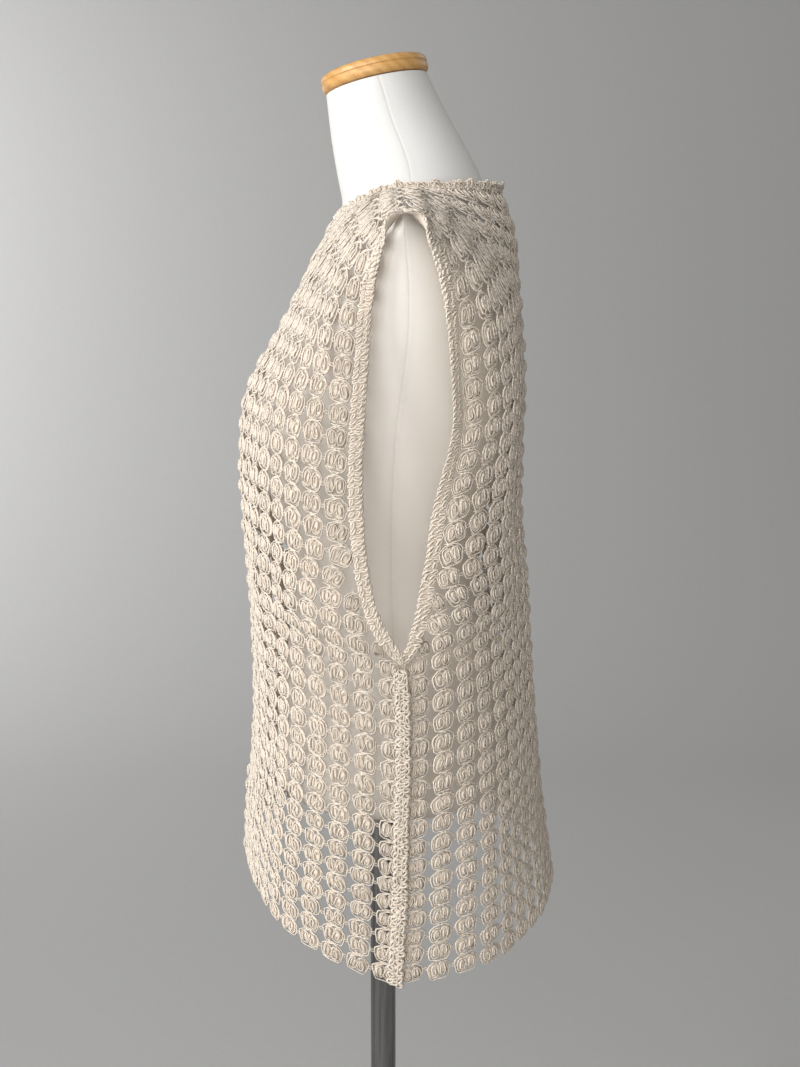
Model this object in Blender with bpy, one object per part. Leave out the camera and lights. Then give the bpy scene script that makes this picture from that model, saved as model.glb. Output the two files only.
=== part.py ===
"""Open crochet sweater vest worn on a limbless dress form with a pole and a round base.

The front faces -Y and the wearer's left is +X. The origin is on the floor, on the pole's axis.
Sizes below are in millimetres and become metres where a mesh is made.
"""

import math

import bmesh
import bpy
from mathutils import Matrix, Vector

MM = 0.001

# Cloth
CLOTH_WALL = 2.2
RIB_HEIGHT = 2.3
BAND_WALL = 3.0
BAND_START = 0.9
BAND_START_AT_POINT = 1.2
NECKBAND_WIDTH = 8.0
NECKBAND_LEAN = 0.6
STRIP_HALF_WIDTH = 4.5
STRIP_WALL = 2.0
STRIP_STEPS = 10
STRIP_START_ROWS = 0.6
SEAM_GAP = 0.3
COLUMN_PITCH = 22.0
WHOLE_COLUMNS = 10
SPLIT_PER_COLUMN = 2
OUTER_STEPS = 6
LAST_ROW = 36.0
YOKE_ROWS = 6.0
ARMHOLE_END_ROW = 19.4
ARMHOLE_STEPS = 11
ARMHOLE_SPREAD = 1.3
SKIRT_STEPS = 8
RAMP_START = 0.35
RAMP_POWER = 1.3
ARC_SAMPLES = 48
NORMAL_STEP = 0.05
NECKLINE_POWER = 1.5
NECK_WAY_POWER = 1.4
SHARP_ANGLE = math.radians(40.0)

# Form, pole and base
FORM_SIDES = 40
CAP_RADIUS = 50.0
CAP_THICKNESS = 16.0
CAP_EDGE = 5.5
CAP_EDGE_STEPS = 3
CAP_TILT = math.radians(12.5)
CAP_CENTRE = Vector((0.0, -4.7, 1298.6))
POLE_RADIUS = 12.5
POLE_SIDES = 32
BASE_RADIUS = 180.0
BASE_THICKNESS = 6.0
BASE_CHAMFER = 1.0
STAND_RIM = 2.0
HUB_RADIUS = 30.0
HUB_TOP = 42.0
HUB_FILLET = 6.0
FILLET_MIDDLE = 0.3
TURNED_SIDES = 48

# Cloth sections, one line for each crochet row that shapes the vest. The inside of the cloth
# passes through the centre, and through the edge at the armhole or the side seam.
SECTION_NAMES = (
    "row", "front_y", "front_z", "back_y", "back_z", "edge_x", "edge_z",
    "front_edge_y", "back_edge_y", "front_round", "back_round", "front_columns", "back_columns",
)
SECTIONS = (
    (6.0, -94.0, 1073.0, 125.5, 1088.0, 190.0, 1051.0, -19.0, 65.0, 1.90, 2.20, 10.5, 10.2),
    (9.0, -124.0, 1018.0, 128.5, 1032.0, 192.0, 993.0, -23.0, 67.0, 1.90, 2.30, 10.6, 10.2),
    (12.0, -129.5, 962.0, 127.5, 976.0, 196.0, 935.0, -24.5, 56.0, 1.90, 2.30, 10.8, 10.4),
    (15.0, -127.5, 907.0, 126.0, 920.0, 203.0, 877.0, -19.5, 47.0, 1.95, 2.30, 11.3, 11.0),
    (17.0, -125.0, 871.0, 128.0, 883.0, 208.0, 840.0, -10.5, 40.0, 2.05, 2.30, 11.9, 11.8),
    (18.6, -123.5, 843.0, 130.5, 854.0, 210.5, 810.0, 7.0, 30.0, 2.15, 2.30, 12.6, 12.6),
    (19.4, -122.5, 830.0, 131.5, 840.0, 211.0, 797.0, 20.0, 20.0, 2.20, 2.30, 13.0, 13.0),
    (23.0, -119.0, 769.0, 136.0, 777.0, 212.0, 734.0, 22.0, 22.0, 2.30, 2.35, 13.0, 13.0),
    (28.0, -119.0, 690.0, 143.0, 690.0, 214.0, 648.0, 20.0, 20.0, 2.30, 2.40, 13.0, 13.0),
    (32.0, -124.5, 633.0, 148.5, 622.0, 216.0, 587.0, 18.5, 18.5, 2.30, 2.40, 13.0, 13.0),
    (36.0, -128.0, 575.0, 160.0, 550.0, 218.0, 525.0, 15.0, 15.0, 2.30, 2.40, 13.0, 13.0),
)

# The panels' top edge: the neckline's middle, the neck point and the shoulder's end, with the
# way in which the cloth leaves each.
NECK_POINT = Vector((78.0, 17.0, 1195.0))
SHOULDER_END = Vector((182.0, 21.0, 1167.5))
NECK_COLUMNS = 5.0
NECK_AXIS = Vector((0.0, 25.0, 1240.0))
YOKE_REACH = 46.0
YOKE = {
    "front": {
        "centre": Vector((0.0, -44.0, 1171.0)),
        "centre_way": Vector((0.0, -0.42, -0.90)),
        "neck_way": Vector((0.25, -0.88, -0.16)),
        "end_way": Vector((0.15, -0.75, -0.60)),
    },
    "back": {
        "centre": Vector((0.0, 109.0, 1198.0)),
        "centre_way": Vector((0.0, 0.40, -0.92)),
        "neck_way": Vector((0.22, 0.98, 0.03)),
        "end_way": Vector((0.12, 0.84, -0.48)),
    },
}

# From a panel's armhole edge to the hole's own edge, for rows from the shoulder to the point
# of the V. "in" runs towards the other panel.
HOLE_NAMES = ("row", "out", "in", "up")
HOLE_OFFSETS = (
    (0.0, 9.6, 0.0, -2.6),
    (1.5, 6.0, 7.0, -2.0),
    (3.0, 2.0, 9.4, 0.0),
    (6.0, 0.5, 9.6, 0.0),
    (15.0, 0.0, 9.6, 0.4),
    (17.0, 0.0, 9.4, 1.6),
    (18.6, 0.0, 7.2, 5.0),
    (19.4, 0.0, 0.0, 9.6),
)

# Soft folds, on both sides of each panel: middle column, first and last row, width in columns
# and height in millimetres.
FOLD_NAMES = ("column", "first_row", "last_row", "width", "height")
FOLDS = {
    "front": (
        (3.4, 5.0, 20.0, 0.9, 4.0),
        (5.6, 8.0, 26.0, 1.1, 3.6),
        (8.2, 20.0, 42.0, 1.4, 4.6),
        (1.2, 22.0, 42.0, 1.2, 3.8),
        (8.6, -4.0, 7.0, 0.8, 4.4),
    ),
    "back": (
        (4.2, 10.0, 32.0, 1.2, 4.0),
        (7.4, 4.0, 22.0, 1.0, 3.4),
        (9.4, 22.0, 42.0, 1.4, 4.6),
        (2.0, 24.0, 42.0, 1.3, 3.6),
        (8.35, -4.0, 7.0, 0.8, 4.4),
    ),
}

# Form sections from the neck's top to the underside.
FORM_NAMES = ("z", "side_y", "half_width", "front_y", "back_y", "round", "tilt")
FORM_SECTIONS = (
    (1298.0, -4.7, 46.5, -51.0, 41.6, 2.0, 12.5),
    (1290.0, -2.0, 47.0, -50.0, 45.5, 2.0, 12.5),
    (1260.0, 7.0, 49.0, -46.5, 61.0, 2.0, 12.0),
    (1225.0, 20.0, 55.0, -41.0, 82.0, 2.0, 9.0),
    (1202.0, 24.0, 62.0, -37.0, 94.0, 1.9, 7.0),
    (1192.0, 22.0, 70.0, -37.0, 97.0, 1.65, 4.0),
    (1184.5, 20.0, 103.0, -37.5, 98.0, 1.25, 1.0),
    (1179.0, 20.0, 130.0, -38.0, 101.5, 1.08, 0.0),
    (1172.4, 20.0, 157.0, -40.2, 104.0, 1.06, 0.0),
    (1167.6, 20.0, 171.0, -41.0, 106.0, 1.10, 0.0),
    (1154.0, 20.0, 179.5, -46.0, 110.0, 1.32, 0.0),
    (1132.0, 20.0, 182.0, -58.0, 113.5, 1.7, 0.0),
    (1105.0, 20.0, 180.0, -72.0, 117.0, 1.95, 0.0),
    (1070.0, 18.0, 175.0, -91.0, 120.0, 2.1, 0.0),
    (1030.0, 12.0, 165.0, -111.0, 122.0, 2.2, 0.0),
    (992.0, 6.0, 155.0, -121.5, 120.5, 2.25, 0.0),
    (950.0, 4.0, 145.0, -116.0, 111.0, 2.2, 0.0),
    (900.0, 4.0, 132.0, -100.0, 97.0, 2.1, 0.0),
    (850.0, 5.0, 123.0, -87.0, 91.0, 2.05, 0.0),
    (820.0, 5.0, 125.0, -86.0, 97.0, 2.1, 0.0),
    (770.0, 8.0, 140.0, -92.0, 112.0, 2.15, 0.0),
    (720.0, 10.0, 157.0, -99.0, 123.0, 2.2, 0.0),
    (675.0, 10.0, 166.0, -103.0, 125.0, 2.3, 0.0),
    (655.0, 10.0, 165.0, -102.0, 123.5, 2.3, 0.0),
    (650.0, 10.0, 161.0, -98.0, 119.5, 2.3, 0.0),
)
FORM_UNDERSIDE = 650.0


def lookup(names, table, key, name):
    """Read one named column of a table at key, along a smooth curve through its lines."""
    place = names.index(name)
    keys = [line[0] for line in table]
    values = [line[place] for line in table]
    if keys[0] > keys[-1]:
        keys.reverse()
        values.reverse()
    key = min(max(key, keys[0]), keys[-1])
    last = len(keys) - 1
    i = 0
    while i < last - 1 and key > keys[i + 1]:
        i += 1
    slopes = []
    for k in (i, i + 1):
        low = max(k - 1, 0)
        high = min(k + 1, last)
        slopes.append((values[high] - values[low]) / (keys[high] - keys[low]))
    span = keys[i + 1] - keys[i]
    t = (key - keys[i]) / span
    near = (1 + 2 * t) * (1 - t) ** 2 * values[i] + t * (1 - t) ** 2 * span * slopes[0]
    far = t * t * (3 - 2 * t) * values[i + 1] + t * t * (t - 1) * span * slopes[1]
    return near + far


def section(name, row):
    """One value of the cloth sections at a row."""
    return lookup(SECTION_NAMES, SECTIONS, row, name)


def round_corner(angle, roundness, reach_x, reach_y):
    """A point on a quarter of a rounded section, from its side (0) to its middle (pi / 2)."""
    power = 2.0 / roundness
    x = reach_x * max(math.cos(angle), 0.0) ** power
    y = reach_y * max(math.sin(angle), 0.0) ** power
    return x, y


def even_quarter(roundness, reach_x, reach_y, share):
    """The quarter's point at a share of its own length, from the middle (0) to the side (1)."""
    points = []
    for k in range(ARC_SAMPLES + 1):
        angle = math.pi / 2 * (1 - k / ARC_SAMPLES)
        points.append(round_corner(angle, roundness, reach_x, reach_y))
    lengths = [0.0]
    for a, b in zip(points, points[1:]):
        lengths.append(lengths[-1] + math.hypot(b[0] - a[0], b[1] - a[1]))
    wanted = share * lengths[-1]
    k = 0
    while k < ARC_SAMPLES - 1 and lengths[k + 1] < wanted:
        k += 1
    t = (wanted - lengths[k]) / (lengths[k + 1] - lengths[k])
    x = points[k][0] + t * (points[k + 1][0] - points[k][0])
    y = points[k][1] + t * (points[k + 1][1] - points[k][1])
    return x, y


def hanging_point(side, share, row):
    """The cloth below the yoke, at a share from the panel's middle (0) to its edge (1)."""
    edge_y = section(side + "_edge_y", row)
    if row >= ARMHOLE_END_ROW:
        edge_y = (section("front_edge_y", row) + section("back_edge_y", row)) / 2
    reach_y = section(side + "_y", row) - edge_y
    x, y = even_quarter(section(side + "_round", row), section("edge_x", row), reach_y, share)
    ramp = max(0.0, (share - RAMP_START) / (1 - RAMP_START)) ** RAMP_POWER
    z = section(side + "_z", row)
    z += (section("edge_z", row) - z) * ramp
    return Vector((x, edge_y + y, z))


def neck_share(side):
    """The share of the panel's half width at which the neckline meets the shoulder seam."""
    return NECK_COLUMNS / half_columns(side, 0.0)


def top_point(side, share):
    """The panel's top edge: a quarter of the neckline, then the shoulder seam."""
    corner = neck_share(side)
    if share > corner:
        return NECK_POINT.lerp(SHOULDER_END, (share - corner) / (1 - corner))
    angle = math.pi / 2 * share / corner
    centre = YOKE[side]["centre"]
    x = NECK_POINT.x * math.sin(angle)
    y = NECK_POINT.y + (centre.y - NECK_POINT.y) * math.cos(angle)
    z = NECK_POINT.z + (centre.z - NECK_POINT.z) * math.cos(angle) ** NECKLINE_POWER
    return Vector((x, y, z))


def top_way(side, share):
    """The way in which the cloth leaves the top edge, at about unit length."""
    yoke = YOKE[side]
    corner = neck_share(side)
    if share > corner:
        return yoke["neck_way"].lerp(yoke["end_way"], (share - corner) / (1 - corner))
    return yoke["centre_way"].lerp(yoke["neck_way"], (share / corner) ** NECK_WAY_POWER)


def plain_point(side, share, row):
    """The inside of the cloth with no folds, on the wearer's left."""
    if row >= YOKE_ROWS:
        return hanging_point(side, share, row)
    end = hanging_point(side, share, YOKE_ROWS)
    fall = hanging_point(side, share, YOKE_ROWS + 1) - end
    start = top_point(side, share)
    t = row / YOKE_ROWS
    first = start + top_way(side, share) * YOKE_REACH
    second = end - fall * (YOKE_ROWS / 3)
    point = start * (1 - t) ** 3 + first * (3 * t * (1 - t) ** 2)
    return point + second * (3 * t * t * (1 - t)) + end * t ** 3


def fold_height(side, column, row):
    """How far the folds lift the cloth at a column and a row."""
    height = 0.0
    for line in FOLDS[side]:
        fold = dict(zip(FOLD_NAMES, line))
        if not fold["first_row"] < row < fold["last_row"]:
            continue
        along = (row - fold["first_row"]) / (fold["last_row"] - fold["first_row"])
        across = (abs(column) - fold["column"]) / fold["width"]
        height += fold["height"] * math.sin(math.pi * along) ** 2 * math.exp(-across * across)
    return height


def half_columns(side, row):
    """How many columns lie between the panel's middle and its edge at a row."""
    return section(side + "_columns", max(row, YOKE_ROWS))


def mirrored(point, column):
    """The point on the wearer's left, or its mirror image for a column on the right."""
    return Vector((math.copysign(point.x, column), point.y, point.z))


def bare_point(side, column, row):
    """The unfolded inside of the cloth at a column, counted from the panel's middle."""
    share = min(abs(column) / half_columns(side, row), 1.0)
    return mirrored(plain_point(side, share, row), column)


def outward(side, column, row):
    """The way out of the cloth at a column and a row."""
    if row >= ARMHOLE_END_ROW and abs(column) > half_columns(side, row) - NORMAL_STEP:
        return (one_side_outward("front", column, row) + one_side_outward("back", column, row)).normalized()
    return one_side_outward(side, column, row)


def one_side_outward(side, column, row):
    """The way out of one panel, from its points close by."""
    limit = half_columns(side, row) - NORMAL_STEP
    middle = min(max(column, -limit), limit)
    low_row = max(row - NORMAL_STEP, 0.0)
    high_row = min(row + NORMAL_STEP, LAST_ROW)
    across = bare_point(side, middle + NORMAL_STEP, row)
    across = across - bare_point(side, middle - NORMAL_STEP, row)
    down = bare_point(side, middle, high_row) - bare_point(side, middle, low_row)
    way = down.cross(across) if side == "front" else across.cross(down)
    return way.normalized()


def cloth_point(side, column, row, height):
    """A point at a height over the inside of the folded cloth."""
    lift = height + fold_height(side, column, row)
    return bare_point(side, column, row) + outward(side, column, row) * lift


def rib(column):
    """The outside's extra height: each crochet column stands proud of the net between."""
    return RIB_HEIGHT * math.sin(math.pi * column) ** 2


def column_list(side, row):
    """The columns at which a panel's row has its points, from right to left."""
    limit = half_columns(side, row)
    steps = WHOLE_COLUMNS * SPLIT_PER_COLUMN
    half = [k / SPLIT_PER_COLUMN for k in range(steps + 1)]
    outer = [WHOLE_COLUMNS + (limit - WHOLE_COLUMNS) * k / OUTER_STEPS for k in range(1, OUTER_STEPS + 1)]
    half += outer
    return [-value for value in reversed(half[1:])] + half


def add_object(name, mesh_data, material, smooth=True):
    """Link a new object that holds the mesh."""
    mesh = bpy.data.meshes.new(name)
    mesh_data.to_mesh(mesh)
    mesh_data.free()
    obj = bpy.data.objects.new(name, mesh)
    bpy.context.scene.collection.objects.link(obj)
    mesh.materials.append(material)
    if smooth:
        mesh.shade_smooth()
        mesh.set_sharp_from_angle(angle=SHARP_ANGLE)
    return obj


def wall(inner, outer, closed):
    """A closed wall between two grids of points, each a list of lines across the cloth."""
    data = bmesh.new()
    grids = []
    for grid in (inner, outer):
        grids.append([[data.verts.new(point * MM) for point in line] for line in grid])
    inside, outside = grids
    count = len(inside)
    width = len(inside[0])
    last = count if closed else count - 1
    for i in range(last):
        j = (i + 1) % count
        for k in range(width - 1):
            data.faces.new((outside[i][k], outside[j][k], outside[j][k + 1], outside[i][k + 1]))
            data.faces.new((inside[i][k], inside[i][k + 1], inside[j][k + 1], inside[j][k]))
        for k in (0, width - 1):
            data.faces.new((inside[i][k], inside[j][k], outside[j][k], outside[i][k]))
    if not closed:
        for i in (0, count - 1):
            for k in range(width - 1):
                data.faces.new((inside[i][k], inside[i][k + 1], outside[i][k + 1], outside[i][k]))
    bmesh.ops.recalc_face_normals(data, faces=data.faces)
    return data


def armhole_rows():
    """The rows from the shoulder to the point of the armhole's V."""
    return [ARMHOLE_END_ROW * (k / ARMHOLE_STEPS) ** ARMHOLE_SPREAD for k in range(ARMHOLE_STEPS + 1)]


def skirt_rows():
    """The rows from the point of the V to the hem."""
    depth = LAST_ROW - ARMHOLE_END_ROW
    return [ARMHOLE_END_ROW + depth * k / SKIRT_STEPS for k in range(SKIRT_STEPS + 1)]


def make_panel(side, material):
    """The front or the back: a wall with a plain inside and raised crochet columns."""
    inner = []
    outer = []
    gap = Vector((0.0, SEAM_GAP / 2, 0.0)) * (-1 if side == "front" else 1)
    for row in armhole_rows() + skirt_rows()[1:]:
        line = column_list(side, row)
        inner.append([cloth_point(side, column, row, 0.0) + gap for column in line])
        outer.append([cloth_point(side, column, row, CLOTH_WALL + rib(column)) + gap for column in line])
    return add_object(side + "_panel", wall(inner, outer, False), material)


def armhole_loop():
    """The rows round one armhole: down the front edge and up the back edge."""
    rows = armhole_rows()[1:]
    path = [("front", row) for row in rows]
    path += [("back", row) for row in reversed(rows[:-1])]
    path.append(("back", 0.0))
    return path


def make_armhole_band(name, hand, material):
    """The dense edging round one armhole."""
    inner = []
    outer = []
    for side, row in armhole_loop():
        toward = 1.0 if side == "front" else -1.0
        edge = plain_point(side, 1.0, row)
        offset = Vector((
            lookup(HOLE_NAMES, HOLE_OFFSETS, row, "out"),
            lookup(HOLE_NAMES, HOLE_OFFSETS, row, "in") * toward,
            lookup(HOLE_NAMES, HOLE_OFFSETS, row, "up"),
        ))
        if row in (0.0, ARMHOLE_END_ROW):
            offset.y = 0.0
        start = edge + offset.normalized() * (BAND_START_AT_POINT if row == ARMHOLE_END_ROW else BAND_START)
        end = edge + offset
        way = outward(side, half_columns(side, row), row)
        if row == 0.0:
            way = (way + outward("front", half_columns("front", row), row)).normalized()
        points = [start, start.lerp(end, 0.5), end]
        inner.append([Vector((p.x * hand, p.y, p.z)) for p in points])
        lifted = [p + way * BAND_WALL for p in points]
        outer.append([Vector((p.x * hand, p.y, p.z)) for p in lifted])
    return add_object(name, wall(inner, outer, True), material)


def neckline():
    """The neckline's points all round: the front from right to left, then the back."""
    steps = round(NECK_COLUMNS * SPLIT_PER_COLUMN)
    path = [("front", k / SPLIT_PER_COLUMN) for k in range(-steps, steps)]
    path += [("back", -k / SPLIT_PER_COLUMN) for k in range(-steps, steps)]
    return path


def make_neckband(material):
    """The dense edging round the neckline, standing on the panels' top edges."""
    path = neckline()
    bases = [bare_point(side, column, 0.0) for side, column in path]
    inner = []
    outer = []
    for i, (side, column) in enumerate(path):
        along = (bases[(i + 1) % len(bases)] - bases[i - 1]).normalized()
        out = outward("front", column, 0.0) + outward("back", column, 0.0)
        if abs(column) < NECK_COLUMNS:
            out = outward(side, column, 0.0)
        inward = out.cross(along)
        inward = (inward if inward.dot(NECK_AXIS - bases[i]) > 0 else -inward).normalized()
        rise = (Vector((0.0, 0.0, 1.0)) + inward * NECKBAND_LEAN).normalized()
        lean = (out - rise * out.dot(rise)).normalized()
        low = bases[i] + inward * 2 * SEAM_GAP
        points = [low, low + rise * NECKBAND_WIDTH]
        outer.append(points)
        inner.append([point - lean * BAND_WALL for point in points])
    return add_object("neckband", wall(inner, outer, True), material)


def make_side_strip(name, hand, material):
    """The row of small bobbles that closes a side seam, as a plain raised strip."""
    inner = []
    outer = []
    first = ARMHOLE_END_ROW + STRIP_START_ROWS
    height = CLOTH_WALL + rib(STRIP_HALF_WIDTH / COLUMN_PITCH) + 2 * SEAM_GAP
    for i in range(STRIP_STEPS + 1):
        row = first + (LAST_ROW - first) * i / STRIP_STEPS
        low = []
        high = []
        for offset in (-STRIP_HALF_WIDTH, 0.0, STRIP_HALF_WIDTH):
            side = "front" if offset < 0 else "back"
            column = half_columns(side, row) - abs(offset) / COLUMN_PITCH
            base = cloth_point(side, column, row, height)
            top = cloth_point(side, column, row, height + STRIP_WALL)
            low.append(Vector((base.x * hand, base.y, base.z)))
            high.append(Vector((top.x * hand, top.y, top.z)))
        inner.append(low)
        outer.append(high)
    return add_object(name, wall(inner, outer, False), material)


def form_ring(z):
    """One closed ring of the form at a height."""
    side_y = lookup(FORM_NAMES, FORM_SECTIONS, z, "side_y")
    half_width = lookup(FORM_NAMES, FORM_SECTIONS, z, "half_width")
    roundness = lookup(FORM_NAMES, FORM_SECTIONS, z, "round")
    tilt = math.tan(math.radians(lookup(FORM_NAMES, FORM_SECTIONS, z, "tilt")))
    ring = []
    for k in range(FORM_SIDES):
        angle = 2 * math.pi * k / FORM_SIDES
        name = "back_y" if math.sin(angle) > 0 else "front_y"
        reach_y = lookup(FORM_NAMES, FORM_SECTIONS, z, name) - side_y
        x, y = round_corner(abs(math.remainder(angle, math.pi)), roundness, half_width, reach_y)
        x = math.copysign(x, math.cos(angle))
        ring.append(Vector((x, side_y + y, z + y * tilt)))
    return ring


def make_form(material):
    """The smooth torso and neck, closed at the neck's top and underneath."""
    data = bmesh.new()
    rings = []
    for line in FORM_SECTIONS:
        rings.append([data.verts.new(point * MM) for point in form_ring(line[0])])
    for upper, lower in zip(rings, rings[1:]):
        for k in range(FORM_SIDES):
            j = (k + 1) % FORM_SIDES
            data.faces.new((upper[k], lower[k], lower[j], upper[j]))
    data.faces.new(rings[0])
    data.faces.new(list(reversed(rings[-1])))
    bmesh.ops.recalc_face_normals(data, faces=data.faces)
    return add_object("form_torso", data, material)


def turned(profile, sides):
    """A closed turned body: the profile's radii and heights, from the bottom up."""
    data = bmesh.new()
    rings = []
    for radius, z in profile:
        ring = []
        for k in range(sides):
            angle = 2 * math.pi * k / sides
            ring.append(data.verts.new(Vector((radius * math.cos(angle), radius * math.sin(angle), z)) * MM))
        rings.append(ring)
    for lower, upper in zip(rings, rings[1:]):
        for k in range(sides):
            j = (k + 1) % sides
            data.faces.new((lower[k], lower[j], upper[j], upper[k]))
    data.faces.new(list(reversed(rings[0])))
    data.faces.new(rings[-1])
    bmesh.ops.recalc_face_normals(data, faces=data.faces)
    return data


def rounded_profile(radius, low, high, edge, steps):
    """A disc's profile with both rims rounded."""
    profile = []
    for k in range(steps + 1):
        angle = math.pi / 2 * k / steps
        profile.append((radius - edge + edge * math.sin(angle), low + edge - edge * math.cos(angle)))
    for k in range(steps + 1):
        angle = math.pi / 2 * k / steps
        profile.append((radius - edge + edge * math.cos(angle), high - edge + edge * math.sin(angle)))
    return profile


def make_neck_cap(material):
    """The turned wooden cap on the neck, tilted forward with the neck's top."""
    profile = rounded_profile(CAP_RADIUS, SEAM_GAP, CAP_THICKNESS, CAP_EDGE, CAP_EDGE_STEPS)
    cap = add_object("neck_cap", turned(profile, TURNED_SIDES), material)
    cap.matrix_world = Matrix.Translation(CAP_CENTRE * MM) @ Matrix.Rotation(CAP_TILT, 4, "X")
    return cap


def make_pole(material):
    """The straight round pole between the base's hub and the form's underside."""
    profile = ((POLE_RADIUS, HUB_TOP + SEAM_GAP), (POLE_RADIUS, FORM_UNDERSIDE - SEAM_GAP))
    return add_object("pole", turned(profile, POLE_SIDES), material)


def make_base(material):
    """The plain round base plate with its hub."""
    bend = HUB_FILLET * FILLET_MIDDLE
    profile = [(BASE_RADIUS - BASE_CHAMFER, 0.0), (BASE_RADIUS, BASE_CHAMFER)]
    profile += [(BASE_RADIUS, BASE_THICKNESS - STAND_RIM), (BASE_RADIUS - STAND_RIM, BASE_THICKNESS)]
    profile += [(HUB_RADIUS + HUB_FILLET, BASE_THICKNESS), (HUB_RADIUS + bend, BASE_THICKNESS + bend)]
    profile += [(HUB_RADIUS, BASE_THICKNESS + HUB_FILLET), (HUB_RADIUS, HUB_TOP - STAND_RIM)]
    profile += [(HUB_RADIUS - STAND_RIM, HUB_TOP)]
    return add_object("base_plate", turned(profile, TURNED_SIDES), material)


def make_material(name, colour, roughness, metallic):
    """A plain Principled finish."""
    material = bpy.data.materials.new(name)
    material.use_nodes = True
    shader = material.node_tree.nodes["Principled BSDF"]
    shader.inputs["Base Color"].default_value = (*colour, 1.0)
    shader.inputs["Roughness"].default_value = roughness
    shader.inputs["Metallic"].default_value = metallic
    return material


def main():
    """Remove the scene's objects and build the vest, the form and the stand."""
    for obj in list(bpy.data.objects):
        bpy.data.objects.remove(obj)
    yarn = make_material("ecru_yarn", (0.72, 0.65, 0.54), 0.85, 0.0)
    cover = make_material("form_cover", (0.86, 0.86, 0.84), 0.75, 0.0)
    wood = make_material("honey_wood", (0.72, 0.40, 0.12), 0.45, 0.0)
    steel = make_material("pole_steel", (0.45, 0.45, 0.46), 0.28, 1.0)
    enamel = make_material("base_enamel", (0.12, 0.12, 0.12), 0.4, 0.0)
    make_panel("front", yarn)
    make_panel("back", yarn)
    make_neckband(yarn)
    for label, hand in (("left", 1), ("right", -1)):
        make_armhole_band("armhole_band_" + label, hand, yarn)
        make_side_strip("side_strip_" + label, hand, yarn)
    make_form(cover)
    make_neck_cap(wood)
    make_pole(steel)
    make_base(enamel)


main()
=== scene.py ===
"""The looks of an open crochet sweater vest on a limbless dress form.

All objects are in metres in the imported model's frame: the wearer's front is -Y, the wearer's left
is +X and the floor is Z = 0. Shapes are worked out in millimetres. Crochet is first drawn flat, in
one cell of the net or one stitch of a band, and then set on the garment's surface.
"""

import logging
import math
from dataclasses import dataclass, field, replace
from enum import Enum
from typing import NamedTuple

import bpy
import numpy as np
from mathutils import Matrix, Vector


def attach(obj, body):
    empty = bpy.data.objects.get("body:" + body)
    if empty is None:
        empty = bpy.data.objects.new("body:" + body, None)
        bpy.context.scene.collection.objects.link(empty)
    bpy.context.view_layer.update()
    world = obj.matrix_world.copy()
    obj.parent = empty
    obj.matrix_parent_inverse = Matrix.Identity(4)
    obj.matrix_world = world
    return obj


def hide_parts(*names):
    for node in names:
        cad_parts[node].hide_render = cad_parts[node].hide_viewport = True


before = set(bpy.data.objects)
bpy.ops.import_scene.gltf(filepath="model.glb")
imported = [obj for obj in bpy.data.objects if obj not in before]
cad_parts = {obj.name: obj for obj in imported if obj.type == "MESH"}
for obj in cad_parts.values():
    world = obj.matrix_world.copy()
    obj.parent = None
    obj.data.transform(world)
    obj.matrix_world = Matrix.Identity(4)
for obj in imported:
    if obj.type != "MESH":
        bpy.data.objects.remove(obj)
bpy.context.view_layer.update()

LOG = logging.getLogger("vest")
MM = 0.001
BODY = "root"
SEED = 41

Array = np.ndarray
Piece = bpy.types.Object
Colour = tuple[float, float, float]
Place = tuple[float, float, float]

Z_AXIS = np.array((0.0, 0.0, 1.0))


class Side(Enum):
    """A panel of the vest."""

    FRONT = "front"
    BACK = "back"

    @property
    def other(self) -> "Side":
        """The panel across the side seam."""
        return Side.BACK if self is Side.FRONT else Side.FRONT


class Slot(Enum):
    """The record's material slots."""

    YARN = "yarn"
    COVER = "form_cover"
    WOOD = "wood"
    STEEL = "steel"
    ENAMEL = "enamel"


# Cloth sections

class Section(NamedTuple):
    """A crochet row that shapes the vest: the cloth's inside at the middle and at the edge."""

    row: float
    front_y: float
    front_z: float
    back_y: float
    back_z: float
    edge_x: float
    edge_z: float
    front_edge_y: float
    back_edge_y: float
    front_fullness: float
    back_fullness: float
    front_columns: float
    back_columns: float


SECTIONS = tuple(Section(*line) for line in (
    (6.0, -94.0, 1073.0, 125.5, 1088.0, 190.0, 1051.0, -19.0, 65.0, 1.90, 2.20, 10.5, 10.2),
    (9.0, -124.0, 1018.0, 128.5, 1032.0, 192.0, 993.0, -23.0, 67.0, 1.90, 2.30, 10.6, 10.2),
    (12.0, -129.5, 962.0, 127.5, 976.0, 196.0, 935.0, -24.5, 56.0, 1.90, 2.30, 10.8, 10.4),
    (15.0, -127.5, 907.0, 126.0, 920.0, 203.0, 877.0, -19.5, 47.0, 1.95, 2.30, 11.3, 11.0),
    (17.0, -125.0, 871.0, 128.0, 883.0, 208.0, 840.0, -10.5, 40.0, 2.05, 2.30, 11.9, 11.8),
    (18.6, -123.5, 843.0, 130.5, 854.0, 210.5, 810.0, 7.0, 30.0, 2.15, 2.30, 12.6, 12.6),
    (19.4, -122.5, 830.0, 131.5, 840.0, 211.0, 797.0, 20.0, 20.0, 2.20, 2.30, 13.0, 13.0),
    (23.0, -119.0, 769.0, 136.0, 777.0, 212.0, 734.0, 22.0, 22.0, 2.30, 2.35, 13.0, 13.0),
    (28.0, -119.0, 690.0, 143.0, 690.0, 214.0, 648.0, 20.0, 20.0, 2.30, 2.40, 13.0, 13.0),
    (32.0, -124.5, 633.0, 148.5, 622.0, 216.0, 587.0, 18.5, 18.5, 2.30, 2.40, 13.0, 13.0),
    (36.0, -128.0, 575.0, 160.0, 550.0, 218.0, 525.0, 15.0, 15.0, 2.30, 2.40, 13.0, 13.0),
))
ROWS = 36
YOKE_ROWS = 6.0
ARMHOLE_END_ROW = 19.4

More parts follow.
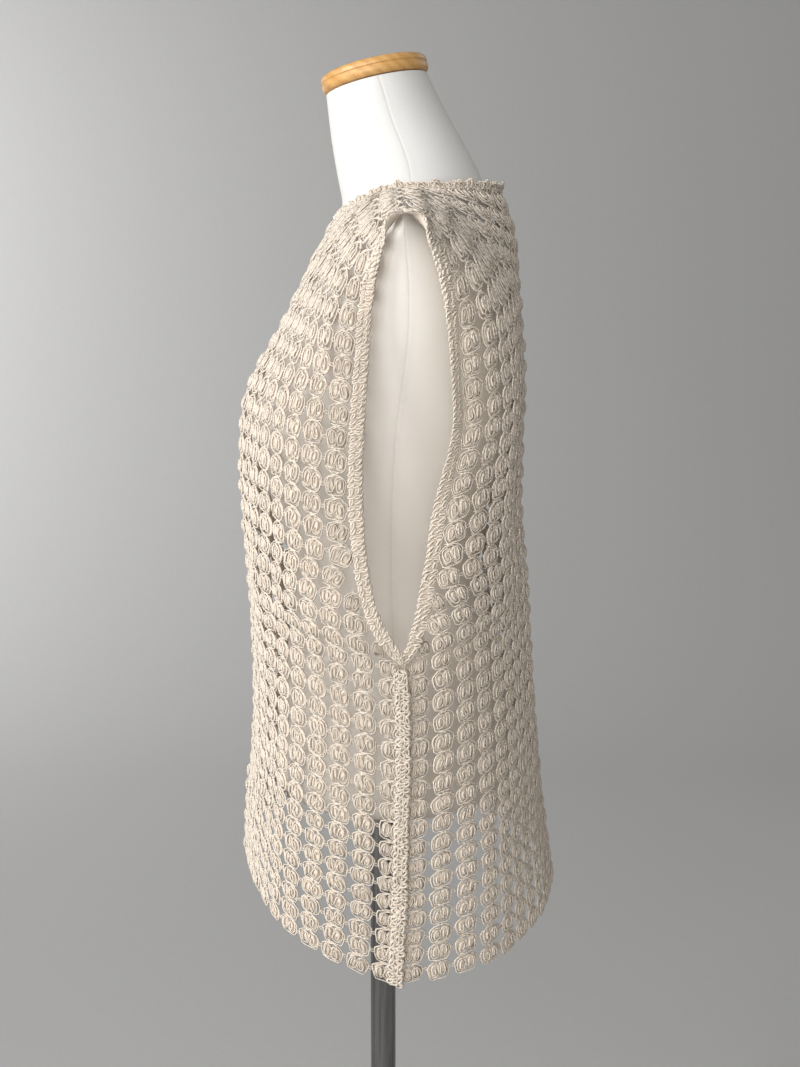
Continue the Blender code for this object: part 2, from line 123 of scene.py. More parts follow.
# Each row falls towards the side beyond this share of a panel's half, by this power of the rest.
RAMP_START = 0.35
RAMP_POWER = 1.3

# The top edge: the neckline takes the first columns, and the shoulder seam runs on from it.
NECK_COLUMNS = 5.0
NECK_AXIS = np.array((0.0, 25.0, 1240.0))
NECK_POINT = np.array((78.0, 17.0, 1195.0))
SHOULDER_END = np.array((182.0, 21.0, 1167.5))
NECK_DIP_POWER = 1.5
NECK_WAY_POWER = 1.4
YOKE_REACH = 46.0


class Yoke(NamedTuple):
    """A panel's top: the neckline's middle and the way the cloth leaves the top edge."""

    centre: Place
    centre_way: Place
    neck_way: Place
    end_way: Place


YOKES = {
    Side.FRONT: Yoke(
        (0.0, -44.0, 1171.0), (0.0, -0.42, -0.90), (0.25, -0.88, -0.16), (0.15, -0.75, -0.60)
    ),
    Side.BACK: Yoke(
        (0.0, 109.0, 1198.0), (0.0, 0.40, -0.92), (0.22, 0.98, 0.03), (0.12, 0.84, -0.48)
    ),
}


class HoleEdge(NamedTuple):
    """The way from a panel's armhole edge to the rim at a row; "inward" faces the other panel."""

    row: float
    out: float
    inward: float
    up: float


HOLE_EDGES = tuple(HoleEdge(*line) for line in (
    (0.0, 9.6, 0.0, -2.0),
    (0.3, 8.6, -6.0, 1.6),
    (0.8, 7.6, -2.0, 0.4),
    (1.5, 6.0, 5.0, -1.4),
    (3.0, 2.0, 9.2, 0.0),
    (6.0, 0.5, 9.8, 0.0),
    (15.0, 0.0, 9.8, 0.4),
    (17.0, 0.0, 9.4, 1.6),
    (18.6, 0.0, 7.2, 5.0),
    (19.4, 0.0, 0.0, 9.6),
))


class Roll(NamedTuple):
    """A stretch of an edging whose rim turns up: its rows, and how far it moves out and back."""

    first_row: float
    last_row: float
    out: float
    back: float


ROLLS = {
    Side.FRONT: Roll(1.0, 5.0, 1.5, 0.5),
    Side.BACK: Roll(2.2, 12.5, 5.5, 3.6),
}

# Small puckers of the rim below the shoulder seam.
RUFFLE_ROWS = 3.4
RUFFLE_HEIGHT = 1.9
RUFFLE_PITCH = 0.72


class Fold(NamedTuple):
    """A soft fold: its middle column, rows, width in columns and height in millimetres."""

    column: float
    first_row: float
    last_row: float
    width: float
    height: float


# Folds that both halves of a panel share, at columns counted from its middle.
FOLDS = {
    Side.FRONT: (
        Fold(3.4, 5.0, 20.0, 0.9, 4.0),
        Fold(5.6, 8.0, 26.0, 1.1, 3.6),
        Fold(8.2, 20.0, 42.0, 1.4, 4.6),
        Fold(1.2, 22.0, 42.0, 1.2, 3.8),
        Fold(8.6, -4.0, 7.0, 0.8, 4.4),
    ),
    Side.BACK: (
        Fold(4.2, 10.0, 32.0, 1.2, 4.0),
        Fold(7.4, 4.0, 22.0, 1.0, 3.4),
        Fold(9.4, 22.0, 42.0, 1.4, 4.6),
        Fold(2.0, 24.0, 42.0, 1.3, 3.6),
        Fold(8.35, -4.0, 7.0, 0.8, 4.4),
    ),
}

# Small creases of one half only, at columns counted from the middle towards the wearer's left.
CREASES = {
    Side.FRONT: (
        Fold(2.0, 9.0, 17.0, 0.6, -1.4),
        Fold(7.0, 11.0, 24.0, 0.7, -1.2),
        Fold(-4.6, 10.0, 21.0, 0.7, -1.5),
        Fold(-7.2, 5.0, 16.0, 0.8, 1.4),
        Fold(5.0, 24.0, 38.0, 0.9, 1.6),
        Fold(-3.6, 25.0, 40.0, 1.0, 1.8),
        Fold(-10.6, 24.0, 40.0, 0.8, 1.5),
    ),
    Side.BACK: (
        Fold(6.0, 8.0, 18.0, 0.7, -1.3),
        Fold(-2.6, 6.0, 20.0, 0.8, 1.5),
        Fold(-5.8, 12.0, 28.0, 0.7, -1.4),
        Fold(5.2, 24.0, 40.0, 1.0, 1.7),
        Fold(-6.6, 22.0, 39.0, 0.9, 1.5),
    ),
}


def read_table(table: tuple, key: str, name: str, places: Array) -> Array:
    """Read one named column of a table along a smooth curve through its lines.

    Args:
        table: Lines of named values.
        key: The column that orders the lines.
        name: The column to read.
        places: Where to read it, in the key column's units.

    Returns:
        The values at those places.
    """
    keys = np.array([getattr(line, key) for line in table], float)
    values = np.array([getattr(line, name) for line in table], float)
    order = np.argsort(keys)
    keys = keys[order]
    values = values[order]
    last = len(keys) - 1
    low = np.maximum(np.arange(last + 1) - 1, 0)
    high = np.minimum(np.arange(last + 1) + 1, last)
    slopes = (values[high] - values[low]) / (keys[high] - keys[low])
    places = np.clip(places, keys[0], keys[-1])
    i = np.clip(np.searchsorted(keys, places, side="right") - 1, 0, last - 1)
    span = keys[i + 1] - keys[i]
    t = (places - keys[i]) / span
    near = (1 + 2 * t) * (1 - t) ** 2 * values[i] + t * (1 - t) ** 2 * span * slopes[i]
    far = t * t * (3 - 2 * t) * values[i + 1] + t * t * (t - 1) * span * slopes[i + 1]
    return near + far


def read_section(name: str, rows: Array) -> Array:
    """One column of the sections' table at crochet rows."""
    return read_table(SECTIONS, "row", name, rows)


def unit(vectors: Array) -> Array:
    """The vectors at unit length."""
    lengths = np.linalg.norm(vectors, axis=-1, keepdims=True)
    return vectors / np.maximum(lengths, 1e-9)


def fold_lift(folds: tuple[Fold, ...], columns: Array, rows: Array) -> Array:
    """How far folds lift the cloth.

    Args:
        folds: The folds to add up.
        columns: Columns on the folds' own count.
        rows: Crochet rows.

    Returns:
        Heights in millimetres.
    """
    lift = np.zeros(np.broadcast(columns, rows).shape)
    for fold in folds:
        along = np.clip((rows - fold.first_row) / (fold.last_row - fold.first_row), 0.0, 1.0)
        across = (columns - fold.column) / fold.width
        lift += fold.height * np.sin(math.pi * along) ** 2 * np.exp(-across * across)
    return lift


@dataclass
class ClothSurface:
    """The cloth's inside, worked out on a fine grid and read by crochet column and row."""

    shares: int = 129
    steps_per_row: int = 8
    corner_steps: int = 96
    inside: dict = field(default_factory=dict)
    outward: dict = field(default_factory=dict)

    def __post_init__(self) -> None:
        """Work out both panels and join their outward ways along the side seams."""
        self.share_list = np.linspace(0.0, 1.0, self.shares)
        self.row_list = np.linspace(0.0, ROWS, ROWS * self.steps_per_row + 1)
        for side in Side:
            self.inside[side] = self._panel(side)
            self.outward[side] = self._ways(side)
        seam = self.row_list >= ARMHOLE_END_ROW
        middle = self.outward[Side.FRONT][seam, -1] + self.outward[Side.BACK][seam, -1]
        for side in Side:
            self.outward[side][seam, -1] = unit(middle)

    def half_columns(self, side: Side, rows: Array) -> Array:
        """How many columns lie between a panel's middle and its edge at each row."""
        return read_section(side.value + "_columns", np.maximum(rows, YOKE_ROWS))

    def _hanging(self, side: Side, rows: Array) -> Array:
        """The cloth below the yoke.

        Args:
            side: The panel.
            rows: Crochet rows.

        Returns:
            Points for each row and each share from the middle to the edge.
        """
        name = side.value
        edge_y = read_section(name + "_edge_y", rows)
        seam_y = (edge_y + read_section(side.other.value + "_edge_y", rows)) / 2
        edge_y = np.where(rows >= ARMHOLE_END_ROW, seam_y, edge_y)
        reach_x = read_section("edge_x", rows)
        reach_y = read_section(name + "_y", rows) - edge_y
        power = 2.0 / read_section(name + "_fullness", rows)
        middle_z = read_section(name + "_z", rows)
        edge_z = read_section("edge_z", rows)
        angles = math.pi / 2 * (1 - np.linspace(0.0, 1.0, self.corner_steps + 1))
        beyond = (self.share_list - RAMP_START) / (1 - RAMP_START)
        ramp = np.maximum(0.0, beyond) ** RAMP_POWER
        points = np.empty((len(rows), self.shares, 3))
        for i in range(len(rows)):
            x = reach_x[i] * np.maximum(np.cos(angles), 0.0) ** power[i]
            y = reach_y[i] * np.maximum(np.sin(angles), 0.0) ** power[i]
            length = np.concatenate(([0.0], np.cumsum(np.hypot(np.diff(x), np.diff(y)))))
            wanted = self.share_list * length[-1]
            points[i, :, 0] = np.interp(wanted, length, x)
            points[i, :, 1] = edge_y[i] + np.interp(wanted, length, y)
            points[i, :, 2] = middle_z[i] + (edge_z[i] - middle_z[i]) * ramp
        return points

    def _panel(self, side: Side) -> Array:
        """One half of a panel: the yoke's curve from the top edge, then the hanging cloth."""
        points = self._hanging(side, self.row_list)
        end, below = self._hanging(side, np.array((YOKE_ROWS, YOKE_ROWS + 1.0)))
        yoke = YOKES[side]
        corner = NECK_COLUMNS / float(self.half_columns(side, np.zeros(1))[0])
        on_neck = self.share_list <= corner
        along = np.clip(self.share_list / corner, 0.0, 1.0)
        seam = np.clip((self.share_list - corner) / (1 - corner), 0.0, 1.0)[:, None]
        centre = np.array(yoke.centre)
        cosine = np.maximum(np.cos(math.pi / 2 * along), 0.0)
        neckline = np.stack((
            NECK_POINT[0] * np.sin(math.pi / 2 * along),
            NECK_POINT[1] + (centre[1] - NECK_POINT[1]) * cosine,
            NECK_POINT[2] + (centre[2] - NECK_POINT[2]) * cosine ** NECK_DIP_POWER,
        ), axis=-1)
        shoulder = NECK_POINT + (SHOULDER_END - NECK_POINT) * seam
        start = np.where(on_neck[:, None], neckline, shoulder)
        centre_way, neck_way, end_way = (np.array(way) for way in yoke[1:])
        neck_part = centre_way + (neck_way - centre_way) * along[:, None] ** NECK_WAY_POWER
        way = np.where(on_neck[:, None], neck_part, neck_way + (end_way - neck_way) * seam)
        first = start + way * YOKE_REACH
        second = end - (below - end) * (YOKE_ROWS / 3)
        for i in np.flatnonzero(self.row_list < YOKE_ROWS):
            t = self.row_list[i] / YOKE_ROWS
            points[i] = start * (1 - t) ** 3 + first * (3 * t * (1 - t) ** 2)
            points[i] += second * (3 * t * t * (1 - t)) + end * t ** 3
        return points

    def _ways(self, side: Side) -> Array:
        """The way out of the cloth at each point of a panel's half."""
        points = self.inside[side]
        mirror = points[:, 1:2] * np.array((-1.0, 1.0, 1.0))
        across = np.gradient(np.concatenate((mirror, points), axis=1), axis=1)[:, 1:]
        down = np.gradient(points, axis=0)
        way = np.cross(down, across) if side is Side.FRONT else np.cross(across, down)
        return unit(way)

    def point(self, side: Side, columns: Array, rows: Array, heights: Array) -> Array:
        """Points over the cloth's inside, lifted by its folds.

        Args:
            side: The panel.
            columns: Columns from the middle, plus towards the wearer's left.
            rows: Crochet rows from the shoulder.
            heights: Heights over the inside, in millimetres.

        Returns:
            Points in millimetres.
        """
        columns, rows, heights = np.broadcast_arrays(columns, rows, heights)
        base, way = self.read(side, columns, rows)
        lift = heights + fold_lift(FOLDS[side], np.abs(columns), rows)
        lift = lift + fold_lift(CREASES[side], columns, rows)
        return base + way * lift[..., None]

    def read(self, side: Side, columns: Array, rows: Array) -> tuple[Array, Array]:
        """The bare inside and the way out of it.

        Args:
            side: The panel.
            columns: Columns from the middle.
            rows: Crochet rows.

        Returns:
            Points in millimetres, and unit vectors.
        """
        across = np.abs(columns) / self.half_columns(side, rows) * (self.shares - 1)
        down = rows * self.steps_per_row
        j = np.clip(across.astype(int), 0, self.shares - 2)
        i = np.clip(np.floor(down).astype(int), 0, len(self.row_list) - 2)
        s = (across - j)[..., None]
        t = (down - i)[..., None]
        found = []
        for grid in (self.inside[side], self.outward[side]):
            upper = grid[i, j] * (1 - s) + grid[i, j + 1] * s
            lower = grid[i + 1, j] * (1 - s) + grid[i + 1, j + 1] * s
            value = upper * (1 - t) + lower * t
            value[..., 0] = np.where(columns < 0, -value[..., 0], value[..., 0])
            found.append(value)
        return found[0], unit(found[1])


# Meshes

@dataclass
class Shape:
    """A small closed form. A face has four corners, or three and a final -1.

    The marks are each corner's place round the yarn, from 0 to 1, and along it, in millimetres.
    """

    points: Array
    faces: Array
    marks: Array


def joined(shapes: list[Shape]) -> Shape:
    """The shapes as one, in the same places."""
    faces = []
    count = 0
    for shape in shapes:
        faces.append(np.where(shape.faces < 0, -1, shape.faces + count))
        count += len(shape.points)
    points = np.concatenate([shape.points for shape in shapes])
    marks = np.concatenate([shape.marks for shape in shapes])
    return Shape(points, np.concatenate(faces), marks)


def plain_marks(faces: Array | list) -> Array:
    """Marks for faces that no yarn runs along."""
    return np.full((len(faces), 4, 2), 0.5)


def rotated(x: Array, y: Array, angle: Array | float) -> tuple[Array, Array]:
    """A flat shape's x and y after a turn, with the angle in radians."""
    return x * np.cos(angle) - y * np.sin(angle), x * np.sin(angle) + y * np.cos(angle)


YARN_SIDES = 3


def strand(path: Array, radius: float, taper: float = 0.6) -> Shape:
    """A closed length of yarn with a ridge on top and soft shading.

    Args:
        path: Points in millimetres, with the cloth's way out as the third axis.
        radius: The yarn's radius.
        taper: The share of the radius at each end.

    Returns:
        The strand.
    """
    path = np.asarray(path, float)
    way = unit(np.gradient(path, axis=0))
    across = unit(np.cross(way, Z_AXIS))
    over = np.cross(across, way)
    radii = np.full(len(path), radius)
    radii[[0, -1]] *= taper
    turn = 2 * math.pi * (np.arange(YARN_SIDES) / YARN_SIDES + 0.25)
    ring = np.cos(turn)[None, :, None] * across[:, None]
    ring = ring + np.sin(turn)[None, :, None] * over[:, None]
    points = (path[:, None] + ring * radii[:, None, None]).reshape(-1, 3)
    along = np.concatenate(([0.0], np.cumsum(np.linalg.norm(np.diff(path, axis=0), axis=1))))
    faces = []
    marks = []
    for i in range(len(path) - 1):
        for k in range(YARN_SIDES):
            a = i * YARN_SIDES + k
            b = i * YARN_SIDES + (k + 1) % YARN_SIDES
            faces.append((a, a + YARN_SIDES, b + YARN_SIDES, b))
            near = k / YARN_SIDES
            far = (k + 1) / YARN_SIDES
            here, there = along[i], along[i + 1]
            marks.append(((near, here), (near, there), (far, there), (far, here)))
    last = len(points)
    faces += [(0, 1, 2, -1), (last - 1, last - 2, last - 3, -1)]
    marks += [[(0.5, 0.0)] * 4, [(0.5, along[-1])] * 4]
    return Shape(points, np.array(faces), np.array(marks, float))


def squarish(angle: Array, fullness: float = 2.5) -> tuple[Array, Array]:
    """A round outline with fuller corners.

    Args:
        angle: Angles round it.
        fullness: 2 for an ellipse, more for fuller corners.

    Returns:
        Its x and y, from -1 to 1.
    """
    power = 2.0 / fullness
    x = np.sign(np.cos(angle)) * np.abs(np.cos(angle)) ** power
    y = np.sign(np.sin(angle)) * np.abs(np.sin(angle)) ** power
    return x, y


def lens(
    centre: tuple[float, float], reach: tuple[float, float], low: float, high: float, sides: int
) -> Shape:
    """A thin closed disc with a low point on each face, which backs the strands over it.

    Args:
        centre: Its middle in the cloth's plane.
        reach: Its half width and half height.
        low: The underside's height.
        high: The top's height.
        sides: How many points lie round its rim.

    Returns:
        The disc.
    """
    x, y = squarish(2 * math.pi * (np.arange(sides) + 0.5) / sides)
    rim = np.stack((
        centre[0] + reach[0] * x,
        centre[1] + reach[1] * y,
        np.full(sides, (low + high) / 2),
    ), axis=-1)
    points = np.concatenate((rim, ((*centre, high), (*centre, low))))
    faces = []
    for k in range(sides):
        j = (k + 1) % sides
        faces.append((k, j, sides, -1))
        faces.append((j, k, sides + 1, -1))
    return Shape(points, np.array(faces), plain_marks(faces))


@dataclass
class MeshMaker:
    """Gathers points and faces in millimetres and makes one piece of them."""

    points: list[Array] = field(default_factory=list)
    faces: list[Array] = field(default_factory=list)
    marks: list[Array] = field(default_factory=list)
    count: int = 0

    def add(self, points: Array, faces: Array, marks: Array) -> None:
        """Add closed forms that share one topology.

        Args:
            points: Points of each copy, as copies, points and three numbers.
            faces: One copy's faces.
            marks: One copy's marks, or those of each copy.
        """
        copies, size = points.shape[:2]
        if self._volume(points[0], faces) < 0:
            quad = faces[:, 3] >= 0
            back = (3, 2, 1, 0)
            back_of_three = (2, 1, 0, 3)
            faces = np.where(quad[:, None], faces[:, back], faces[:, back_of_three])
            marks = np.where(quad[:, None, None], marks[..., back, :], marks[..., back_of_three, :])
        steps = self.count + size * np.arange(copies)[:, None, None]
        every = np.where(faces[None] < 0, -1, faces[None] + steps).reshape(-1, 4)
        self.points.append(points.reshape(-1, 3))
        self.faces.append(every)
        self.marks.append(np.broadcast_to(marks, (copies, *marks.shape[-3:])).reshape(-1, 4, 2))
        self.count += copies * size

    @staticmethod
    def _volume(points: Array, faces: Array) -> float:
        """Six times the volume inside one copy's faces, below zero where they face inwards."""
        halves = np.concatenate((faces[:, :3], faces[faces[:, 3] >= 0][:, (0, 2, 3)]))
        corners = (points - points.mean(axis=0))[halves]
        return float((corners[:, 0] * np.cross(corners[:, 1], corners[:, 2])).sum())

    def make(
        self, name: str, material: bpy.types.Material, sharp_degrees: float = 150.0
    ) -> Piece:
        """Make the piece and link it.

        Args:
            name: The piece's name.
            material: Its finish.
            sharp_degrees: The angle past which an edge isn't shaded smooth.

        Returns:
            The new object.
        """
        points = np.concatenate(self.points) * MM
        faces = np.concatenate(self.faces)
        marks = np.concatenate(self.marks)
        used = faces >= 0
        totals = used.sum(axis=1)
        starts = np.concatenate(([0], np.cumsum(totals)[:-1]))
        mesh = bpy.data.meshes.new(name)
        mesh.vertices.add(len(points))
        mesh.vertices.foreach_set("co", points.astype(np.float32).ravel())
        mesh.loops.add(int(totals.sum()))
        mesh.loops.foreach_set("vertex_index", faces[used].astype(np.int32))
        mesh.polygons.add(len(faces))
        mesh.polygons.foreach_set("loop_start", starts.astype(np.int32))
        mesh.update(calc_edges=True)
        layer = mesh.uv_layers.new(name="strand")
        layer.uv.foreach_set("vector", marks[used].astype(np.float32).ravel())
        mesh.validate()
        mesh.shade_smooth()
        mesh.set_sharp_from_angle(angle=math.radians(sharp_degrees))
        mesh.materials.append(material)
        piece = bpy.data.objects.new(name, mesh)
        bpy.context.scene.collection.objects.link(piece)
        return piece


def triangles(piece: Piece) -> int:
    """How many triangles a piece has."""
    piece.data.calc_loop_triangles()
    return len(piece.data.loop_triangles)


def seat(piece: Piece, slot: Slot, *nodes: str) -> Piece:
    """Ride a piece on the body and let it stand for CAD nodes.

    Args:
        piece: The finished piece.
        slot: The record's material slot; not used.
        nodes: The nodes that it replaces.

    Returns:
        The same piece.
    """
    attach(piece, BODY)
    if nodes:
        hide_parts(*nodes)
    LOG.info("%s: %d triangles, for %s", piece.name, triangles(piece), ", ".join(nodes))
    return piece


# Shader maths

class Value:
    """A number that varies over a surface: a shader socket that takes Python's arithmetic."""

    def __init__(self, graph: "Graph", socket: bpy.types.NodeSocket) -> None:
        """Keep the socket and the graph that it is in."""
        self.graph = graph
        self.socket = socket

    def _math(self, operation: str, first: "Value | float", second: "Value | float") -> "Value":
        """One Math node on two numbers."""
        return self.graph.node("ShaderNodeMath", {"operation": operation}, {0: first, 1: second})

    def __add__(self, other: "Value | float") -> "Value":
        """The sum."""
        return self._math("ADD", self, other)

    __radd__ = __add__

    def __sub__(self, other: "Value | float") -> "Value":
        """The difference."""
        return self._math("SUBTRACT", self, other)

    def __rsub__(self, other: float) -> "Value":
        """The difference from a number."""
        return self._math("SUBTRACT", other, self)

    def __mul__(self, other: "Value | float") -> "Value":
        """The product."""
        return self._math("MULTIPLY", self, other)

    __rmul__ = __mul__

    def __truediv__(self, other: "Value | float") -> "Value":
        """The quotient."""
        return self._math("DIVIDE", self, other)

    def __rtruediv__(self, other: float) -> "Value":
        """The quotient of a number by this."""
        return self._math("DIVIDE", other, self)

    def sine(self) -> "Value":
        """The sine."""
        return self._math("SINE", self, 0.0)

    def size(self) -> "Value":
        """The absolute value."""
        return self._math("ABSOLUTE", self, 0.0)

    def step(self, low: float, high: float) -> "Value":
        """A smooth step from 0 at low to 1 at high."""
        settings = {"interpolation_type": "SMOOTHSTEP"}
        return self.graph.node("ShaderNodeMapRange", settings, {0: self, 1: low, 2: high})


class Graph:
    """A material's nodes, made by one method."""

    def __init__(self, name: str) -> None:
        """Start a material with its Principled shader alone."""
        self.material = bpy.data.materials.new(name)
        self.material.use_nodes = True
        self.tree = self.material.node_tree
        self.shader = self.tree.nodes["Principled BSDF"]

    def node(self, kind: str, settings: dict, inputs: dict, output: int | str = 0) -> Value:
        """Add a node.

        Args:
            kind: The node's type.
            settings: Its settings, set first.
            inputs: Values or links by socket name or number.
            output: The output to return.

        Returns:
            The output as a value.
        """
        made = self.tree.nodes.new(kind)
        for name, setting in settings.items():
            setattr(made, name, setting)
        for key, value in inputs.items():
            self.feed(made.inputs[key], value)
        return Value(self, made.outputs[output])

    def feed(self, socket: bpy.types.NodeSocket, value: "Value | float | tuple") -> None:
        """Link a value to a socket, or set the socket to a number or a colour."""
        if isinstance(value, Value):
            self.tree.links.new(value.socket, socket)
        elif socket.type == "RGBA" and len(value) == 3:
            socket.default_value = (*value, 1.0)
        else:
            socket.default_value = value

    def place(self) -> Value:
        """Object coordinates in metres."""
        return self.node("ShaderNodeTexCoord", {}, {}, "Object")

    def noise(
        self, where: Value, scale: float, detail: float = 2.0, stretch: Place = (1.0, 1.0, 1.0)
    ) -> Value:
        """Soft noise from 0 to 1.

        Args:
            where: Coordinates.
            scale: Cells per metre.
            detail: How many finer layers it has.
            stretch: The scale along each axis.

        Returns:
            The noise.
        """
        spot = self.node("ShaderNodeVectorMath", {"operation": "MULTIPLY"}, {0: where, 1: stretch})
        inputs = {"Vector": spot, "Scale": scale, "Detail": detail}
        return self.node("ShaderNodeTexNoise", {}, inputs)

    def axis(self, where: Value, name: str) -> Value:
        """One axis of coordinates: X, Y or Z."""
        return self.node("ShaderNodeSeparateXYZ", {}, {0: where}, name)

    def blend(self, factor: Value, first: "Value | Colour", second: "Value | Colour") -> Value:
        """Mix two colours, all of the first at 0."""
        inputs = {0: factor, 6: first, 7: second}
        return self.node("ShaderNodeMix", {"data_type": "RGBA"}, inputs, 2)

    def tint(self, colour: "Value | Colour", shade: Value) -> Value:
        """A colour times a shade of grey."""
        grey = self.node("ShaderNodeCombineColor", {}, {0: shade, 1: shade, 2: shade})
        settings = {"data_type": "RGBA", "blend_type": "MULTIPLY"}
        return self.node("ShaderNodeMix", settings, {0: 1.0, 6: colour, 7: grey}, 2)

    def bump(self, height: Value, distance: float, strength: float = 1.0) -> Value:
        """A bumped normal from a height of 0 to 1, in metres of distance."""
        inputs = {"Height": height, "Distance": distance, "Strength": strength}
        return self.node("ShaderNodeBump", {}, inputs)

    def finish(self, **sockets: "Value | float | tuple") -> bpy.types.Material:
        """Feed the shader's sockets, with spaces as underscores, and return the material."""
        for name, value in sockets.items():
            self.feed(self.shader.inputs[name.replace("_", " ")], value)
        return self.material


# Finishes

@dataclass(frozen=True)
class YarnFinish:
    """Matt plied cotton yarn with small flecks and a soft nap."""

    name: str = "ecru_yarn"
    colour: Colour = (0.79, 0.705, 0.605)
    shadow: Colour = (0.58, 0.485, 0.385)
    ply_pitch_mm: float = 3.2
    plies: int = 3
    fibre_scale: float = 1900.0
    fleck_scale: float = 310.0
    patch_scale: float = 26.0
    relief: float = 0.0003

    def make(self) -> bpy.types.Material:
        """Build the material."""
        graph = Graph(self.name)
        strand_map = graph.node("ShaderNodeUVMap", {"uv_map": "strand"}, {})
        where = graph.place()
        turn = graph.axis(strand_map, "X") * self.plies
        turn = turn + graph.axis(strand_map, "Y") / self.ply_pitch_mm
        ply = (turn * math.tau).sine() * 0.5 + 0.5
        fibre = graph.noise(where, self.fibre_scale, 3.0)
        patch = graph.noise(where, self.patch_scale)
        fleck = graph.noise(where, self.fleck_scale)
        depth = 0.55 * (1 - ply) + 0.45 * (1 - fibre)
        colour = graph.blend(depth.step(0.35, 1.0) * 0.62, self.colour, self.shadow)
        colour = graph.tint(colour, patch * 0.16 + fleck * 0.14 + 0.86)
        height = ply * 0.6 + fibre * 0.4
        return graph.finish(
            Base_Color=colour,
            Roughness=0.82 + 0.14 * fibre,
            Normal=graph.bump(height, self.relief, 0.8),
            Sheen_Weight=0.18,
            Sheen_Roughness=0.5,
        )


@dataclass(frozen=True)
class CoverFinish:
    """Smooth white jersey pulled over padding, with sewn seams and painted warm bounce light below
    the neck.
    """

    name: str = "white_jersey"
    colour: Colour = (0.77, 0.76, 0.74)
    # The warmer colour below the neck is painted warm bounce light from the vest's yarn.
    painted_lighting: Colour = (0.90, 0.85, 0.785)
    shadow: Colour = (0.72, 0.69, 0.63)
    wale: float = 0.0011
    stitch_pitch_mm: float = 3.0
    seam_reach_mm: tuple[float, float] = (0.3, 1.3)
    pucker_reach_mm: tuple[float, float] = (1.5, 7.0)
    neck_z: tuple[float, float] = (1.12, 1.2)
    relief: float = 0.0004

    def make(self) -> bpy.types.Material:
        """Build the material; the marks' first number is the nearest seam's distance."""
        graph = Graph(self.name)
        where = graph.place()
        seam_map = graph.node("ShaderNodeUVMap", {"uv_map": "strand"}, {})
        seam_gap = graph.axis(seam_map, "X").size()
        along = graph.axis(seam_map, "Y")
        seam = 1 - seam_gap.step(*self.seam_reach_mm)
        beside = 1 - seam_gap.step(*self.pucker_reach_mm)
        stitch = (along * (math.tau / self.stitch_pitch_mm)).sine() * 0.5 + 0.5
        patch = graph.noise(where, 14.0, 3.0)
        loops = graph.noise(where, 1.0 / self.wale, 2.0, (1.0, 1.0, 0.7))
        pull = graph.noise(where, 60.0, 2.0, (1.0, 1.0, 0.25))
        # The slight darkening beside the seams is painted shade in their puckers.
        shade = 0.93 + 0.07 * patch + 0.05 * loops - 0.03 * beside
        # Below neck_z the cover turns to the painted warm bounce light colour.
        colour = graph.blend(graph.axis(where, "Z").step(*self.neck_z), self.painted_lighting, self.colour)
        colour = graph.blend(seam * (0.3 - 0.15 * stitch), colour, self.shadow)
        height = 0.25 * loops + 0.5 * pull + 0.3 * beside * stitch + 0.25 * (1 - seam)
        return graph.finish(
            Base_Color=graph.tint(colour, shade),
            Roughness=0.72 + 0.14 * loops,
            Normal=graph.bump(height, self.relief, 0.7),
            Sheen_Weight=0.1,
        )


@dataclass(frozen=True)
class WoodFinish:
    """Honey-coloured turned wood under satin lacquer."""

    name: str = "honey_wood"
    light: Colour = (0.80, 0.47, 0.165)
    dark: Colour = (0.50, 0.235, 0.06)
    grain_scale: tuple[float, float] = (420.0, 640.0)
    pore_scale: float = 900.0
    relief: float = 0.0002

    def make(self) -> bpy.types.Material:
        """Build the material: long grain across the disc with fine pores in it."""
        graph = Graph(self.name)
        where = graph.place()
        warp = graph.noise(where, 16.0, 3.0, (0.4, 1.0, 1.0))
        deep, high = self.grain_scale
        lines = graph.axis(where, "Y") * deep + graph.axis(where, "Z") * high + warp * 9.0
        ring = lines.sine() * 0.5 + 0.5
        pores = graph.noise(where, self.pore_scale, 2.0, (0.07, 1.0, 1.0))
        patch = graph.noise(where, 30.0)
        depth = 0.34 * ring + 0.42 * pores.step(0.4, 0.75) + 0.3 * patch
        colour = graph.blend(depth, self.light, self.dark)
        return graph.finish(
            Base_Color=colour,
            Roughness=0.36 + 0.16 * pores,
            Normal=graph.bump(1 - depth, self.relief, 0.5),
            Coat_Weight=0.35,
            Coat_Roughness=0.22,
        )


@dataclass(frozen=True)
class SteelFinish:
    """A polished steel tube with long faint wipe marks in its roughness and bump, and dark streaks
    painted in its colour as reflections.
    """

    name: str = "polished_steel"
    # The base colour is darkened as painted shade; the next, darker colour paints the dark
    # reflection streaks.
    colour: Colour = (0.27, 0.265, 0.26)
    painted_lighting: Colour = (0.10, 0.098, 0.095)
    streak_scale: float = 420.0
    smear_and_reflection_scale: float = 70.0
    relief: float = 0.00005

    def make(self) -> bpy.types.Material:
        """Build the material."""
        graph = Graph(self.name)
        where = graph.place()
        streak = graph.noise(where, self.streak_scale, 3.0, (1.0, 1.0, 0.02))
        smear_and_reflection = graph.noise(where, self.smear_and_reflection_scale, 3.0, (1.0, 1.0, 0.16))
        # Streaks and smears darken the colour: painted reflections of the room.
        colour = graph.blend(streak.step(0.35, 0.7) * 0.6 + smear_and_reflection * 0.3, self.colour, self.painted_lighting)
        return graph.finish(
            Base_Color=colour,
            Roughness=0.16 + 0.16 * streak + 0.1 * smear_and_reflection,
            Normal=graph.bump(streak, self.relief, 0.5),
            Metallic=1.0,
        )


